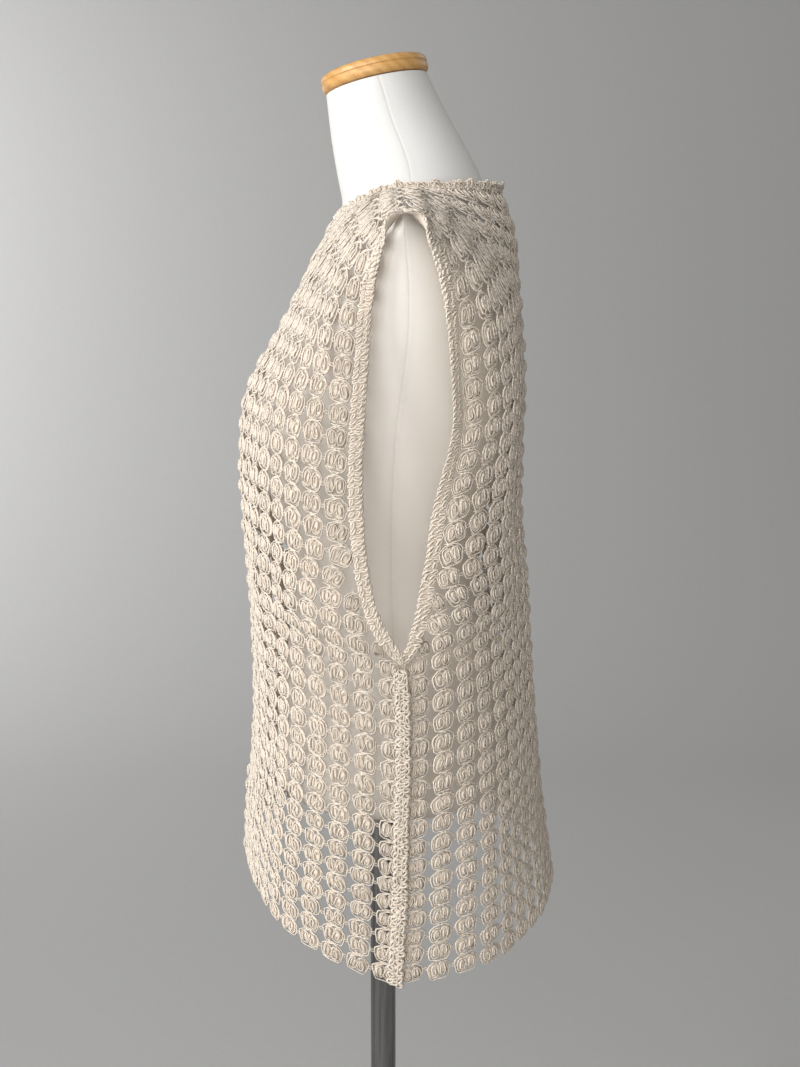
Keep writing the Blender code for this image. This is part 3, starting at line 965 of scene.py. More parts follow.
@dataclass(frozen=True)
class EnamelFinish:
    """Satin black enamel with a faint orange-peel surface and dust."""

    name: str = "black_enamel"
    colour: Colour = (0.018, 0.018, 0.019)
    dust: Colour = (0.10, 0.098, 0.092)
    peel_scale: float = 420.0
    dust_scale: float = 36.0
    relief: float = 0.00012

    def make(self) -> bpy.types.Material:
        """Build the material."""
        graph = Graph(self.name)
        where = graph.place()
        peel = graph.noise(where, self.peel_scale, 1.0)
        dust = graph.noise(where, self.dust_scale, 4.0)
        colour = graph.blend(dust.step(0.45, 0.9) * 0.35, self.colour, self.dust)
        return graph.finish(
            Base_Color=colour,
            Roughness=0.3 + 0.2 * dust,
            Normal=graph.bump(peel, self.relief, 0.35),
            Coat_Weight=0.25,
            Coat_Roughness=0.3,
        )


@dataclass(frozen=True)
class StageFinish:
    """Plain pale paper for the floor and the wall behind."""

    name: str = "studio_paper"
    colour: Colour = (0.47, 0.468, 0.462)

    def make(self) -> bpy.types.Material:
        """Build the material."""
        graph = Graph(self.name)
        grain = graph.noise(graph.place(), 90.0)
        return graph.finish(Base_Color=graph.tint(self.colour, 0.97 + 0.06 * grain), Roughness=0.9)


# Crochet net

# The cell that one motif is drawn in, in millimetres.
CELL_WIDTH = 22.0
CELL_HEIGHT = 18.0

# How many points lie along a short strand.
SHORT_POINTS = 4


class Lobe(NamedTuple):
    """A strand wound inwards along a tall oval; "hand" is 1 for clockwise and -1 otherwise."""

    x: float
    reach: tuple[float, float]
    core: tuple[float, float]
    turns: float
    steps: int
    start_degrees: float
    hand: float


@dataclass(frozen=True)
class Rosette:
    """One motif of the net: two wound lobes inside a round of yarn, drawn flat in its cell.

    Rises are counted from the base, which is the strands' height over the cloth's inside.
    """

    yarn: float = 0.84
    base: float = 1.6
    dome: float = 2.6
    outline: tuple[float, float] = (9.0, 8.6)
    outline_start: float = 200.0
    outline_turns: float = 1.06
    outline_steps: int = 16
    outline_fullness: float = 2.8
    outline_waves: int = 5
    outline_wave: float = 0.05
    outline_rise: tuple[float, float] = (0.35, 0.5)
    right: Lobe = Lobe(3.4, (4.7, 7.5), (0.12, 0.36), 1.9, 20, 110.0, 1.0)
    left: Lobe = Lobe(-3.6, (4.6, 7.3), (0.40, 0.54), 1.25, 14, 70.0, -1.0)
    winding: float = 1.1
    lean_degrees: float = 5.0
    stroke_reach: float = 5.0
    stroke_gap: float = 1.7
    stroke_rise: tuple[float, float] = (0.7, 0.3)
    groove_lean: float = 2.0
    groove_reach: float = 6.2
    groove_rise: float = 0.9
    neck: tuple[float, float] = (4.6, 10.2)
    neck_overlap: float = 1.4
    neck_drop: float = 0.9
    neck_rise: float = 0.5
    backing: tuple[float, float] = (0.97, 0.94)
    backing_low: float = 0.2
    backing_rise: float = 0.5
    backing_sides: int = 8
    link_reach: tuple[float, float] = (-8.6, -13.4)
    link_bulge: float = 1.3
    link_place: tuple[float, float] = (0.3, 0.3)
    link_yarn: float = 0.85
    link_taper: float = 0.9

    def shape(self) -> Shape:
        """The motif's strands and the thin discs behind them."""
        parts = [self._outline(), self._wound(self.right), self._wound(self.left)]
        parts += [*self._strokes(), *self._necks(), *self._link()]
        high = self.base + self.dome * self.backing_rise
        for lobe in (self.right, self.left):
            reach = (lobe.reach[0] * self.backing[0], lobe.reach[1] * self.backing[1])
            parts.append(lens((lobe.x, 0.0), reach, self.backing_low, high, self.backing_sides))
        return joined(parts)

    def _outline(self) -> Shape:
        """The strand that goes round both lobes, with its ends passed over each other."""
        share = np.linspace(0.0, self.outline_turns, self.outline_steps + 1)
        angle = math.radians(self.outline_start) + 2 * math.pi * share
        x, y = squarish(angle, self.outline_fullness)
        wave = 1.0 + self.outline_wave * np.sin(self.outline_waves * angle)
        height = self.base + self.outline_rise[0] + self.outline_rise[1] * share
        path = (x * wave * self.outline[0], y * wave * self.outline[1], height)
        return strand(np.stack(path, axis=-1), self.yarn)

    def _wound(self, lobe: Lobe) -> Shape:
        """One lobe's strand, from its outline to its core."""
        share = np.linspace(0.0, 1.0, lobe.steps + 1)
        angle = math.radians(lobe.start_degrees) - 2 * math.pi * lobe.turns * lobe.hand * share
        x, y = squarish(angle)
        wound = share ** self.winding
        across = 1.0 - (1.0 - lobe.core[0]) * wound
        up = 1.0 - (1.0 - lobe.core[1]) * wound
        lean = math.radians(-self.lean_degrees) * lobe.hand
        x, y = rotated(x * lobe.reach[0] * across, y * lobe.reach[1] * up, lean)
        height = self.base + self.dome * (1.0 - across ** 2)
        return strand(np.stack((lobe.x + x, y, height), axis=-1), self.yarn)

    def _strokes(self) -> list[Shape]:
        """Upright strands inside the left lobe, and a slanted one between the lobes."""
        share = np.linspace(-1.0, 1.0, SHORT_POINTS)
        bow = 1.0 - share ** 2
        low, more = self.stroke_rise
        paths = []
        for way in (-0.5, 0.5):
            x = self.left.x + self.stroke_gap * way * (1.0 + bow)
            paths.append((x, self.stroke_reach * share, self.base + self.dome * (low + more * bow)))
        height = self.base + self.groove_rise + bow
        paths.append((self.groove_lean * share, self.groove_reach * share, height))
        return [strand(np.stack(path, axis=-1), self.yarn) for path in paths]

    def _necks(self) -> list[Shape]:
        """Two strands that cross between this motif and the one above."""
        share = np.linspace(-1.0, 1.0, SHORT_POINTS)
        middle = (self.outline[1] + self.neck[1]) / 2 - self.neck_drop
        reach = (self.neck[1] - self.outline[1]) / 2 + self.neck_overlap
        found = []
        for way in (-1.0, 1.0):
            height = self.base + self.neck_rise * (1.0 + way * (1.0 - share ** 2))
            path = (way * self.neck[0] * share, middle + reach * share, height)
            found.append(strand(np.stack(path, axis=-1), self.yarn))
        return found

    def _link(self) -> list[Shape]:
        """A small eye of two strands that ties the motif to its neighbour."""
        along = np.linspace(0.0, 1.0, SHORT_POINTS)
        start, end = self.link_reach
        up, rise = self.link_place
        height = np.full(SHORT_POINTS, self.base + rise)
        eye = []
        for way in (1.0, -1.0):
            y = up + way * self.link_bulge * np.sin(math.pi * along)
            path = np.stack((start + (end - start) * along, y, height), axis=-1)
            eye.append(strand(path, self.yarn * self.link_yarn, self.link_taper))
        return eye


@dataclass
class NetPanel:
    """A front or back of rosettes in columns, made in three pieces across its width.

    Motifs are squeezed where the armhole makes the panel a little narrower, and cut short beside
    the hole. Where less than the narrowest share of a motif's width is left, there is none.
    """

    side: Side
    surface: ClothSurface
    node: str
    half_count: int = 13
    middle_count: int = 4
    armhole_column: float = 10.5
    narrowest: float = 0.5
    widest: float = 1.035
    variants: int = 18
    turn_degrees: float = 9.0
    size_spread: float = 0.05
    place_spread: float = 0.45
    cut_half_columns: float = 12.9
    cut_row: float = 18.3
    seam_sink: float = 3.0

    def cells(self) -> Array:
        """The motifs.

        Returns:
            One line for each: its own column, where that lies, its row and its width's share.
        """
        found = []
        for i in range(ROWS):
            row = i + 0.5
            half = float(self.surface.half_columns(self.side, np.array((row,)))[0])
            squeeze = half / (self.armhole_column + 0.5)
            if squeeze > self.widest:
                squeeze = 1.0
            for k in range(self.half_count):
                column = k + 0.5
                place = column * squeeze
                share = squeeze
                if column > self.armhole_column:
                    share = min(1.0, half - k)
                    place = k + share / 2
                if share < self.narrowest:
                    continue
                found.append((column, place, row, share))
                found.append((-column, -place, row, share))
        return np.array(found)

    def templates(self) -> tuple[Array, Shape]:
        """Rosettes that differ a little, as one array of points and the shape they share."""
        rng = np.random.default_rng(SEED)
        shapes = []
        for _ in range(self.variants):
            plain = Rosette()
            shapes.append(replace(
                plain,
                dome=plain.dome + rng.uniform(-0.7, 0.7),
                outline=(
                    plain.outline[0] + rng.uniform(-0.5, 0.4),
                    plain.outline[1] + rng.uniform(-0.4, 0.4),
                ),
                outline_start=rng.uniform(0.0, 360.0),
                outline_wave=rng.uniform(0.01, 0.08),
                right=self._varied(plain.right, rng),
                left=self._varied(plain.left, rng),
                lean_degrees=plain.lean_degrees + rng.uniform(-7.0, 7.0),
                stroke_gap=plain.stroke_gap + rng.uniform(-0.4, 0.6),
                stroke_reach=plain.stroke_reach + rng.uniform(-0.8, 0.6),
                groove_lean=plain.groove_lean + rng.uniform(-1.4, 1.0),
            ).shape())
        return np.stack([shape.points for shape in shapes]), shapes[0]

    def _varied(self, lobe: Lobe, rng: np.random.Generator) -> Lobe:
        """The lobe with a slightly different place, size and winding."""
        wider, taller = rng.uniform(-0.4, 0.4, 2)
        return lobe._replace(
            x=lobe.x + rng.uniform(-0.4, 0.4),
            reach=(lobe.reach[0] + wider, lobe.reach[1] + taller),
            turns=lobe.turns + rng.uniform(-0.25, 0.25),
            start_degrees=rng.uniform(0.0, 360.0),
            hand=float(rng.choice((-1.0, 1.0))),
        )

    def _laid(self, points: Array, chosen: Array, rng: np.random.Generator) -> Array:
        """Motifs set on the cloth.

        Args:
            points: The templates' points.
            chosen: The cells that are filled.
            rng: Picks each cell's template, turn, size and place.

        Returns:
            The points of each motif, in millimetres.
        """
        count = len(chosen)
        drawn = points[rng.integers(0, self.variants, count)]
        turn = np.radians(rng.uniform(-self.turn_degrees, self.turn_degrees, count))[:, None]
        size = 1.0 + rng.uniform(-self.size_spread, self.size_spread, (count, 2))
        shift = rng.uniform(-self.place_spread, self.place_spread, (count, 2))
        x = drawn[..., 0] * size[:, :1] * chosen[:, 3:4]
        y = drawn[..., 1] * size[:, 1:]
        across, up = rotated(x, y, turn)
        columns = chosen[:, 1:2] + (across + shift[:, :1]) / CELL_WIDTH
        rows = chosen[:, 2:3] - (up + shift[:, 1:]) / CELL_HEIGHT
        last = np.abs(chosen[:, :1]) > self.half_count - 1
        sunk = np.where(last & (self.side is Side.BACK), self.seam_sink, 0.0)
        return self.surface.point(self.side, columns, rows, drawn[..., 2] - sunk)

    def build(self, material: bpy.types.Material) -> None:
        """Set the motifs on the surface and make the pieces."""
        points, shape = self.templates()
        cells = self.cells()
        outer, inner = self.half_count, self.middle_count
        parts = {"right": (-outer, -inner), "middle": (-inner, inner), "left": (inner, outer)}
        for seed, (label, (low, high)) in enumerate(parts.items()):
            chosen = cells[(cells[:, 0] > low) & (cells[:, 0] < high)]
            rng = np.random.default_rng((SEED, len(self.side.value), seed))
            maker = MeshMaker()
            maker.add(self._laid(points, chosen, rng), shape.faces, shape.marks)
            piece = maker.make(f"{self.side.value}_net_{label}", material)
            seat(piece, Slot.YARN, self.node)
            cut_columns = min(high, self.cut_half_columns) - max(low, -self.cut_half_columns)
            flat = (cut_columns * CELL_WIDTH * MM, ROWS * self.cut_row * MM)
            area = min(len(chosen) * CELL_WIDTH * self.cut_row * MM * MM, flat[0] * flat[1])


# Dense edgings


@dataclass
class Ribbon:
    """A strip of cloth between two edges, read by its length in millimetres.

    The across value runs from 0 at the low edge to 1 at the high edge.
    """

    low: Array
    high: Array
    way: Array
    closed: bool
    size_spread: float = 0.1
    place_spread: float = 0.45

    def __post_init__(self) -> None:
        """Measure the strip along its middle."""
        if self.closed:
            self.low = np.concatenate((self.low, self.low[:1]))
            self.high = np.concatenate((self.high, self.high[:1]))
            self.way = np.concatenate((self.way, self.way[:1]))
        middle = (self.low + self.high) / 2
        steps = np.linalg.norm(np.diff(middle, axis=0), axis=1)
        self.along = np.concatenate(([0.0], np.cumsum(steps)))
        self.length = float(self.along[-1])
        self.width = float(np.linalg.norm(self.high - self.low, axis=1).mean())

    def point(self, along: Array, across: Array, height: Array) -> Array:
        """Points on the strip.

        Args:
            along: Millimetres from the strip's start.
            across: Shares from the low edge to the high edge.
            height: Millimetres over the strip.

        Returns:
            Points in millimetres.
        """
        along, across, height = np.broadcast_arrays(along, across, height)
        if self.closed:
            along = np.mod(along, self.length)
        near = self._read(self.low, along)
        far = self._read(self.high, along)
        way = unit(self._read(self.way, along))
        return near + (far - near) * across[..., None] + way * height[..., None]

    def _read(self, values: Array, along: Array) -> Array:
        """Three numbers given along the strip, read at lengths in millimetres."""
        return np.stack([np.interp(along, self.along, values[:, k]) for k in range(3)], axis=-1)

    def lay(
        self,
        maker: MeshMaker,
        shape: Shape,
        places: Array,
        across: float,
        rng: np.random.Generator,
        loose: float = 5.0,
    ) -> None:
        """Set copies of a small shape along the strip.

        Args:
            maker: Gathers the points.
            shape: The shape, with x along the strip, y across it and z out of it.
            places: Where each copy's middle lies along the strip.
            across: Where it lies across the strip.
            rng: Gives each copy a slightly different size and place.
            loose: How many degrees a copy may turn.
        """
        count = len(places)
        size = 1.0 + rng.uniform(-self.size_spread, self.size_spread, (count, 3))
        shift = rng.uniform(-self.place_spread, self.place_spread, (count, 2))
        turn = np.radians(rng.uniform(-loose, loose, count))[:, None]
        local = shape.points[None] * size[:, None]
        x, y = rotated(local[..., 0], local[..., 1], turn)
        along = places[:, None] + x + shift[:, :1]
        share = across + (y + shift[:, 1:]) / self.width
        maker.add(self.point(along, share, local[..., 2]), shape.faces, shape.marks)

    def core(self, maker: MeshMaker, low: float, high: float, margin: float, steps: int) -> None:
        """Add the closed wall behind the stitches.

        Args:
            maker: Gathers the points.
            low: The wall's underside over the strip.
            high: Its top.
            margin: How far it stays inside both edges, as a share of the width.
            steps: How many steps it has along the strip.
        """
        across = np.array((margin, 0.5, 1 - margin, 1 - margin, 0.5, margin))
        height = np.array((low, low, low, high, high, high))
        ends = steps if self.closed else steps + 1
        along = self.length * np.arange(ends) / steps
        points = self.point(along[:, None], across[None], height[None]).reshape(1, -1, 3)
        sides = len(across)
        faces = []
        for i in range(steps):
            j = (i + 1) % ends
            for k in range(sides):
                m = (k + 1) % sides
                faces.append((i * sides + k, j * sides + k, j * sides + m, i * sides + m))
        if not self.closed:
            for i, order in ((0, 1), (ends - 1, -1)):
                row = [i * sides + k for k in range(sides)]
                faces.append((row[0], row[1], row[4], row[5])[::order])
                faces.append((row[1], row[2], row[3], row[4])[::order])
        maker.add(points, np.array(faces), plain_marks(faces))


@dataclass(frozen=True)
class BandStitch:
    """One dense crochet stitch: a small oval loop on the slant, wound inwards as it rises."""

    yarn: float = 1.25
    reach: tuple[float, float] = (1.75, 3.3)
    slant_degrees: float = 38.0
    turns: float = 1.3
    steps: int = 10
    lift: float = 1.5
    base: float = 1.5
    winding: float = 0.55
    least_height: float = 0.4
    ripple: float = 0.4

    def shape(self) -> Shape:
        """The loop's strand."""
        share = np.linspace(0.0, 1.0, self.steps + 1)
        angle = 2 * math.pi * self.turns * share
        shrink = 1.0 - self.winding * share
        taller = self.least_height + (1.0 - self.least_height) * shrink
        x = self.reach[0] * shrink * np.cos(angle)
        y = self.reach[1] * taller * np.sin(angle)
        x, y = rotated(x, y, math.radians(self.slant_degrees))
        height = self.base + self.lift * share + self.ripple * np.cos(angle)
        return strand(np.stack((x, y, height), axis=-1), self.yarn)


@dataclass(frozen=True)
class RimStitch:
    """One link of the chain along an edging's rim."""

    yarn: float = 1.1
    length: float = 6.0
    wave: float = 1.1
    rise: float = 1.1
    base: float = 1.3

    def shape(self) -> Shape:
        """One bowed strand on the slant, which overlaps the next."""
        share = np.linspace(0.0, 1.0, SHORT_POINTS + 1)
        path = np.stack((
            (share - 0.5) * self.length,
            self.wave * np.cos(math.pi * share),
            self.base + self.rise * np.sin(math.pi * share),
        ), axis=-1)
        return strand(path, self.yarn)


@dataclass
class Edging:
    """Rows of dense stitches on a ribbon, with a chain along its rim.

    Each row has its place across the ribbon and its stitches' slant, as shares.
    """

    name: str
    ribbon: Ribbon
    node: str
    stitch: BandStitch = BandStitch()
    stitch_pitch: float = 4.7
    stitch_height: float = 0.36
    rows: tuple[tuple[float, float], ...] = ((0.25, 1.0), (0.72, 0.8))
    row_slip: float = 0.3
    loose_degrees: float = 42.0
    rim: float = 0.98
    wall: tuple[float, float] = (0.2, 1.7)
    wall_margin: float = 0.03
    wall_step: float = 5.0

    def build(self, material: bpy.types.Material) -> None:
        """Make the edging: a thin wall, and the stitches on it."""
        rng = np.random.default_rng((SEED, len(self.name)))
        ribbon = self.ribbon
        wall = MeshMaker()
        ribbon.core(wall, *self.wall, self.wall_margin, round(ribbon.length / self.wall_step))
        maker = MeshMaker()
        count = round(ribbon.length / self.stitch_pitch)
        places = ribbon.length * (np.arange(count) + 0.5) / count
        for across, slant in self.rows:
            stitch = replace(
                self.stitch,
                slant_degrees=self.stitch.slant_degrees * slant,
                reach=(self.stitch.reach[0], ribbon.width * self.stitch_height),
            )
            slipped = places + self.row_slip * slant * self.stitch_pitch
            ribbon.lay(maker, stitch.shape(), slipped, across, rng, self.loose_degrees)
        ribbon.lay(maker, RimStitch().shape(), places, self.rim, rng)
        declare_strip(self.name, self.node, wall, maker, material)


def declare_strip(
    name: str,
    node: str,
    wall: MeshMaker,
    stitches: MeshMaker,
    material: bpy.types.Material,
) -> None:
    """Args:
        name: The wall's name.
        node: The node that both replace.
        wall: The thin wall.
        stitches: The strands over it.
        material: Their finish.
    """
    base = seat(wall.make(name, material), Slot.YARN, node)
    upper = seat(stitches.make(name + "_stitches", material), Slot.YARN, node)


# How far a strip's low edge runs under the panels.
TUCK = 0.8

# Where two panels meet, a strip turns from one's way out to the other's over this much of them.
HOLE_BLEND_ROWS = 0.9
NECK_BLEND_COLUMNS = 0.35

# The neckband leans in by this share of its rise, and its low edge lies this far under the cloth.
NECK_INWARD = 0.6
NECK_SINK = 2.2


class Wave(NamedTuple):
    """A small unevenness round the neckline."""

    height: float
    count: int
    start: float


NECK_WAVES = (Wave(0.6, 31, 0.0), Wave(0.5, 47, 1.0), Wave(0.5, 18, 2.0))
NECK_WAVE_OUT = 0.8


def armhole_half(surface: ClothSurface, side: Side, rows: Array) -> tuple[Array, Array, Array]:
    """One panel's half of an armhole strip.

    Args:
        surface: The cloth.
        side: The panel.
        rows: Crochet rows, from the shoulder down.

    Returns:
        The low edge, the high edge and the ways out.
    """
    toward = 1.0 if side is Side.FRONT else -1.0
    edge, way = surface.read(side, surface.half_columns(side, rows), rows)
    _, other_way = surface.read(side.other, surface.half_columns(side.other, rows), rows)
    near_end = np.minimum(rows, ARMHOLE_END_ROW - rows)
    share = 0.5 * np.clip(1.0 - near_end / HOLE_BLEND_ROWS, 0.0, 1.0)[:, None]
    way = unit(way * (1 - share) + other_way * share)
    offset = np.stack((
        read_table(HOLE_EDGES, "row", "out", rows),
        read_table(HOLE_EDGES, "row", "inward", rows) * toward,
        read_table(HOLE_EDGES, "row", "up", rows),
    ), axis=-1)
    roll = ROLLS[side]
    along = np.clip((rows - roll.first_row) / (roll.last_row - roll.first_row), 0.0, 1.0)
    rolled = np.sin(math.pi * along)
    ruffle = np.sin(2 * math.pi * rows / RUFFLE_PITCH) * np.clip(1.0 - rows / RUFFLE_ROWS, 0.0, 1.0)
    offset[:, 0] += roll.out * rolled + RUFFLE_HEIGHT * ruffle
    offset[:, 1] -= roll.back * rolled * toward
    return edge - unit(offset) * TUCK, edge + offset, way


def armhole_ribbon(surface: ClothSurface, hand: float, steps: int = 260) -> Ribbon:
    """The strip between the panels' armhole edges and the hole's rim.

    Args:
        surface: The cloth.
        hand: 1 for the wearer's left, -1 for the right.
        steps: How many steps each panel's edge has.

    Returns:
        The closed strip, down the front and up the back.
    """
    rows = ARMHOLE_END_ROW * (np.arange(steps) + 0.5) / steps
    front = armhole_half(surface, Side.FRONT, rows)
    back = armhole_half(surface, Side.BACK, rows)
    mirror = np.array((hand, 1.0, 1.0))
    low, high, way = (np.concatenate((down, up[::-1])) * mirror for down, up in zip(front, back))
    return Ribbon(low, high, way, closed=True)


def neck_ribbon(
    surface: ClothSurface,
    width: float = 8.0,
    steps: int = 160,
    curl: float = 5.0,
    curl_columns: float = 2.4,
) -> Ribbon:
    """The strip that stands on the neckline.

    Args:
        surface: The cloth.
        width: How wide the strip is.
        steps: How many steps each panel's neckline has.
        curl: How far its rim turns outwards at the back's middle.
        curl_columns: How many columns to each side that curl reaches.

    Returns:
        The closed strip, round the front and then the back.
    """
    share = (np.arange(steps) + 0.5) / steps
    columns = NECK_COLUMNS * (2 * share - 1)
    first_blended = NECK_COLUMNS - NECK_BLEND_COLUMNS
    near = np.clip((np.abs(columns) - first_blended) / NECK_BLEND_COLUMNS, 0.0, 1.0)[:, None] / 2
    bases = []
    outs = []
    for side, way in ((Side.FRONT, 1.0), (Side.BACK, -1.0)):
        base, out = surface.read(side, columns * way, np.zeros(steps))
        _, other_out = surface.read(side.other, columns * way, np.zeros(steps))
        bases.append(base)
        outs.append(unit(out * (1 - near) + other_out * near))
    base = np.concatenate(bases)
    out = np.concatenate(outs)
    along = unit(np.roll(base, -1, axis=0) - np.roll(base, 1, axis=0))
    inward = unit(np.cross(out, along))
    away = np.sum(inward * (NECK_AXIS - base), axis=1) < 0
    inward = np.where(away[:, None], -inward, inward)
    rise = unit(Z_AXIS + inward * NECK_INWARD)
    lean = unit(out - rise * np.sum(out * rise, axis=1, keepdims=True))
    low = base - rise * TUCK - lean * NECK_SINK
    angle = np.linspace(0.0, 2 * math.pi, len(base), endpoint=False)[:, None]
    uneven = sum(wave.height * np.sin(wave.count * angle + wave.start) for wave in NECK_WAVES)
    curled = np.concatenate((np.zeros(steps), np.exp(-(columns / curl_columns) ** 2)))[:, None]
    high = low + rise * (width + TUCK + uneven) + lean * (NECK_WAVE_OUT * uneven + curl * curled)
    return Ribbon(low, high, lean, closed=True)


@dataclass
class SideStrip:
    """The line of dense stitches that closes a side seam."""

    name: str
    surface: ClothSurface
    hand: float
    node: str
    half_width: float = 5.4
    forward: float = 2.6
    rise: float = 0.8
    first_row: float = ARMHOLE_END_ROW + 0.05
    stitch: BandStitch = BandStitch(
        yarn=1.2, reach=(2.3, 3.5), turns=1.55, steps=12, lift=1.6, base=2.5
    )
    stitch_pitch: float = 5.4
    stitch_rows: tuple[float, ...] = (0.2, 0.52, 0.84)
    first_stitch: float = 0.2
    row_slip: float = 0.3
    loose_degrees: float = 70.0
    wall: tuple[float, float] = (0.9, 2.4)
    wall_margin: float = 0.1
    wall_steps: int = 60

    def ribbon(self, steps: int = 140) -> Ribbon:
        """The strip over the seam, from the armhole to the hem, with its low edge on the front."""
        rows = np.linspace(self.first_row, ROWS + 0.05, steps + 1)
        half = self.surface.half_columns(Side.FRONT, rows)
        before = half - (self.half_width + self.forward) / CELL_WIDTH
        behind = half - (self.half_width - self.forward) / CELL_WIDTH
        low = self.surface.point(Side.FRONT, before, rows, self.rise)
        high = self.surface.point(Side.BACK, behind, rows, self.rise)
        _, way = self.surface.read(Side.FRONT, half, rows)
        mirror = np.array((self.hand, 1.0, 1.0))
        return Ribbon(low * mirror, high * mirror, way * mirror, closed=False)

    def build(self, material: bpy.types.Material) -> None:
        """Make the strip: a thin wall and the stitches on it."""
        ribbon = self.ribbon()
        maker = MeshMaker()
        rng = np.random.default_rng((SEED, 7 if self.hand > 0 else 9))
        count = round(ribbon.length / self.stitch_pitch)
        for number, across in enumerate(self.stitch_rows):
            first = self.first_stitch + self.row_slip * number
            places = ribbon.length * (np.arange(count) + first) / count
            ribbon.lay(maker, self.stitch.shape(), places, across, rng, self.loose_degrees)
        wall = MeshMaker()
        ribbon.core(wall, *self.wall, self.wall_margin, self.wall_steps)
        declare_strip(self.name, self.node, wall, maker, material)


# Form and stand

class FormRing(NamedTuple):
    """One ring of the form, in millimetres, with its tilt in degrees."""

    z: float
    side_y: float
    half_width: float
    front_y: float
    back_y: float
    fullness: float
    tilt: float


FORM_RINGS = tuple(FormRing(*line) for line in (
    (1298.0, -4.7, 46.5, -51.0, 41.6, 2.0, 12.5),
    (1290.0, -2.0, 47.0, -50.0, 45.5, 2.0, 12.5),
    (1260.0, 7.0, 49.0, -46.5, 61.0, 2.0, 12.0),
    (1225.0, 20.0, 55.0, -41.0, 82.0, 2.0, 9.0),
    (1202.0, 24.0, 62.0, -37.0, 94.0, 1.9, 7.0),
    (1192.0, 22.0, 70.0, -37.0, 97.0, 1.65, 4.0),
    (1184.5, 20.0, 103.0, -37.5, 98.0, 1.25, 1.0),
    (1179.0, 20.0, 130.0, -38.0, 101.5, 1.08, 0.0),
    (1172.4, 20.0, 157.0, -40.2, 104.0, 1.06, 0.0),
    (1167.6, 20.0, 171.0, -41.0, 106.0, 1.10, 0.0),
    (1154.0, 20.0, 179.5, -46.0, 110.0, 1.32, 0.0),
    (1132.0, 20.0, 182.0, -58.0, 113.5, 1.7, 0.0),
    (1105.0, 20.0, 180.0, -72.0, 117.0, 1.95, 0.0),
    (1070.0, 18.0, 175.0, -91.0, 120.0, 2.1, 0.0),
    (1030.0, 12.0, 165.0, -111.0, 122.0, 2.2, 0.0),
    (992.0, 6.0, 155.0, -121.5, 120.5, 2.25, 0.0),
    (950.0, 4.0, 145.0, -116.0, 111.0, 2.2, 0.0),
    (900.0, 4.0, 132.0, -100.0, 97.0, 2.1, 0.0),
    (850.0, 5.0, 123.0, -87.0, 91.0, 2.05, 0.0),
    (820.0, 5.0, 125.0, -86.0, 97.0, 2.1, 0.0),
    (770.0, 8.0, 140.0, -92.0, 112.0, 2.15, 0.0),
    (720.0, 10.0, 157.0, -99.0, 123.0, 2.2, 0.0),
    (675.0, 10.0, 166.0, -103.0, 125.0, 2.3, 0.0),
    (655.0, 10.0, 165.0, -102.0, 123.5, 2.3, 0.0),
    (650.0, 10.0, 161.0, -98.0, 119.5, 2.3, 0.0),
))


def grid_faces(rings: int, sides: int) -> Array:
    """The faces between closed rings, each of the same number of points."""
    i, k = np.meshgrid(np.arange(rings - 1), np.arange(sides), indexing="ij")
    j = (k + 1) % sides
    upper = i * sides
    lower = upper + sides
    return np.stack((upper + k, lower + k, lower + j, upper + j), axis=-1).reshape(-1, 4)


def closing_faces(first: int, sides: int, centre: int, upward: bool) -> Array:
    """A fan of triangles from a ring to a middle point."""
    k = np.arange(sides)
    j = (k + 1) % sides
    pair = (first + k, first + j) if upward else (first + j, first + k)
    return np.stack((*pair, np.full(sides, centre), np.full(sides, -1)), axis=-1)


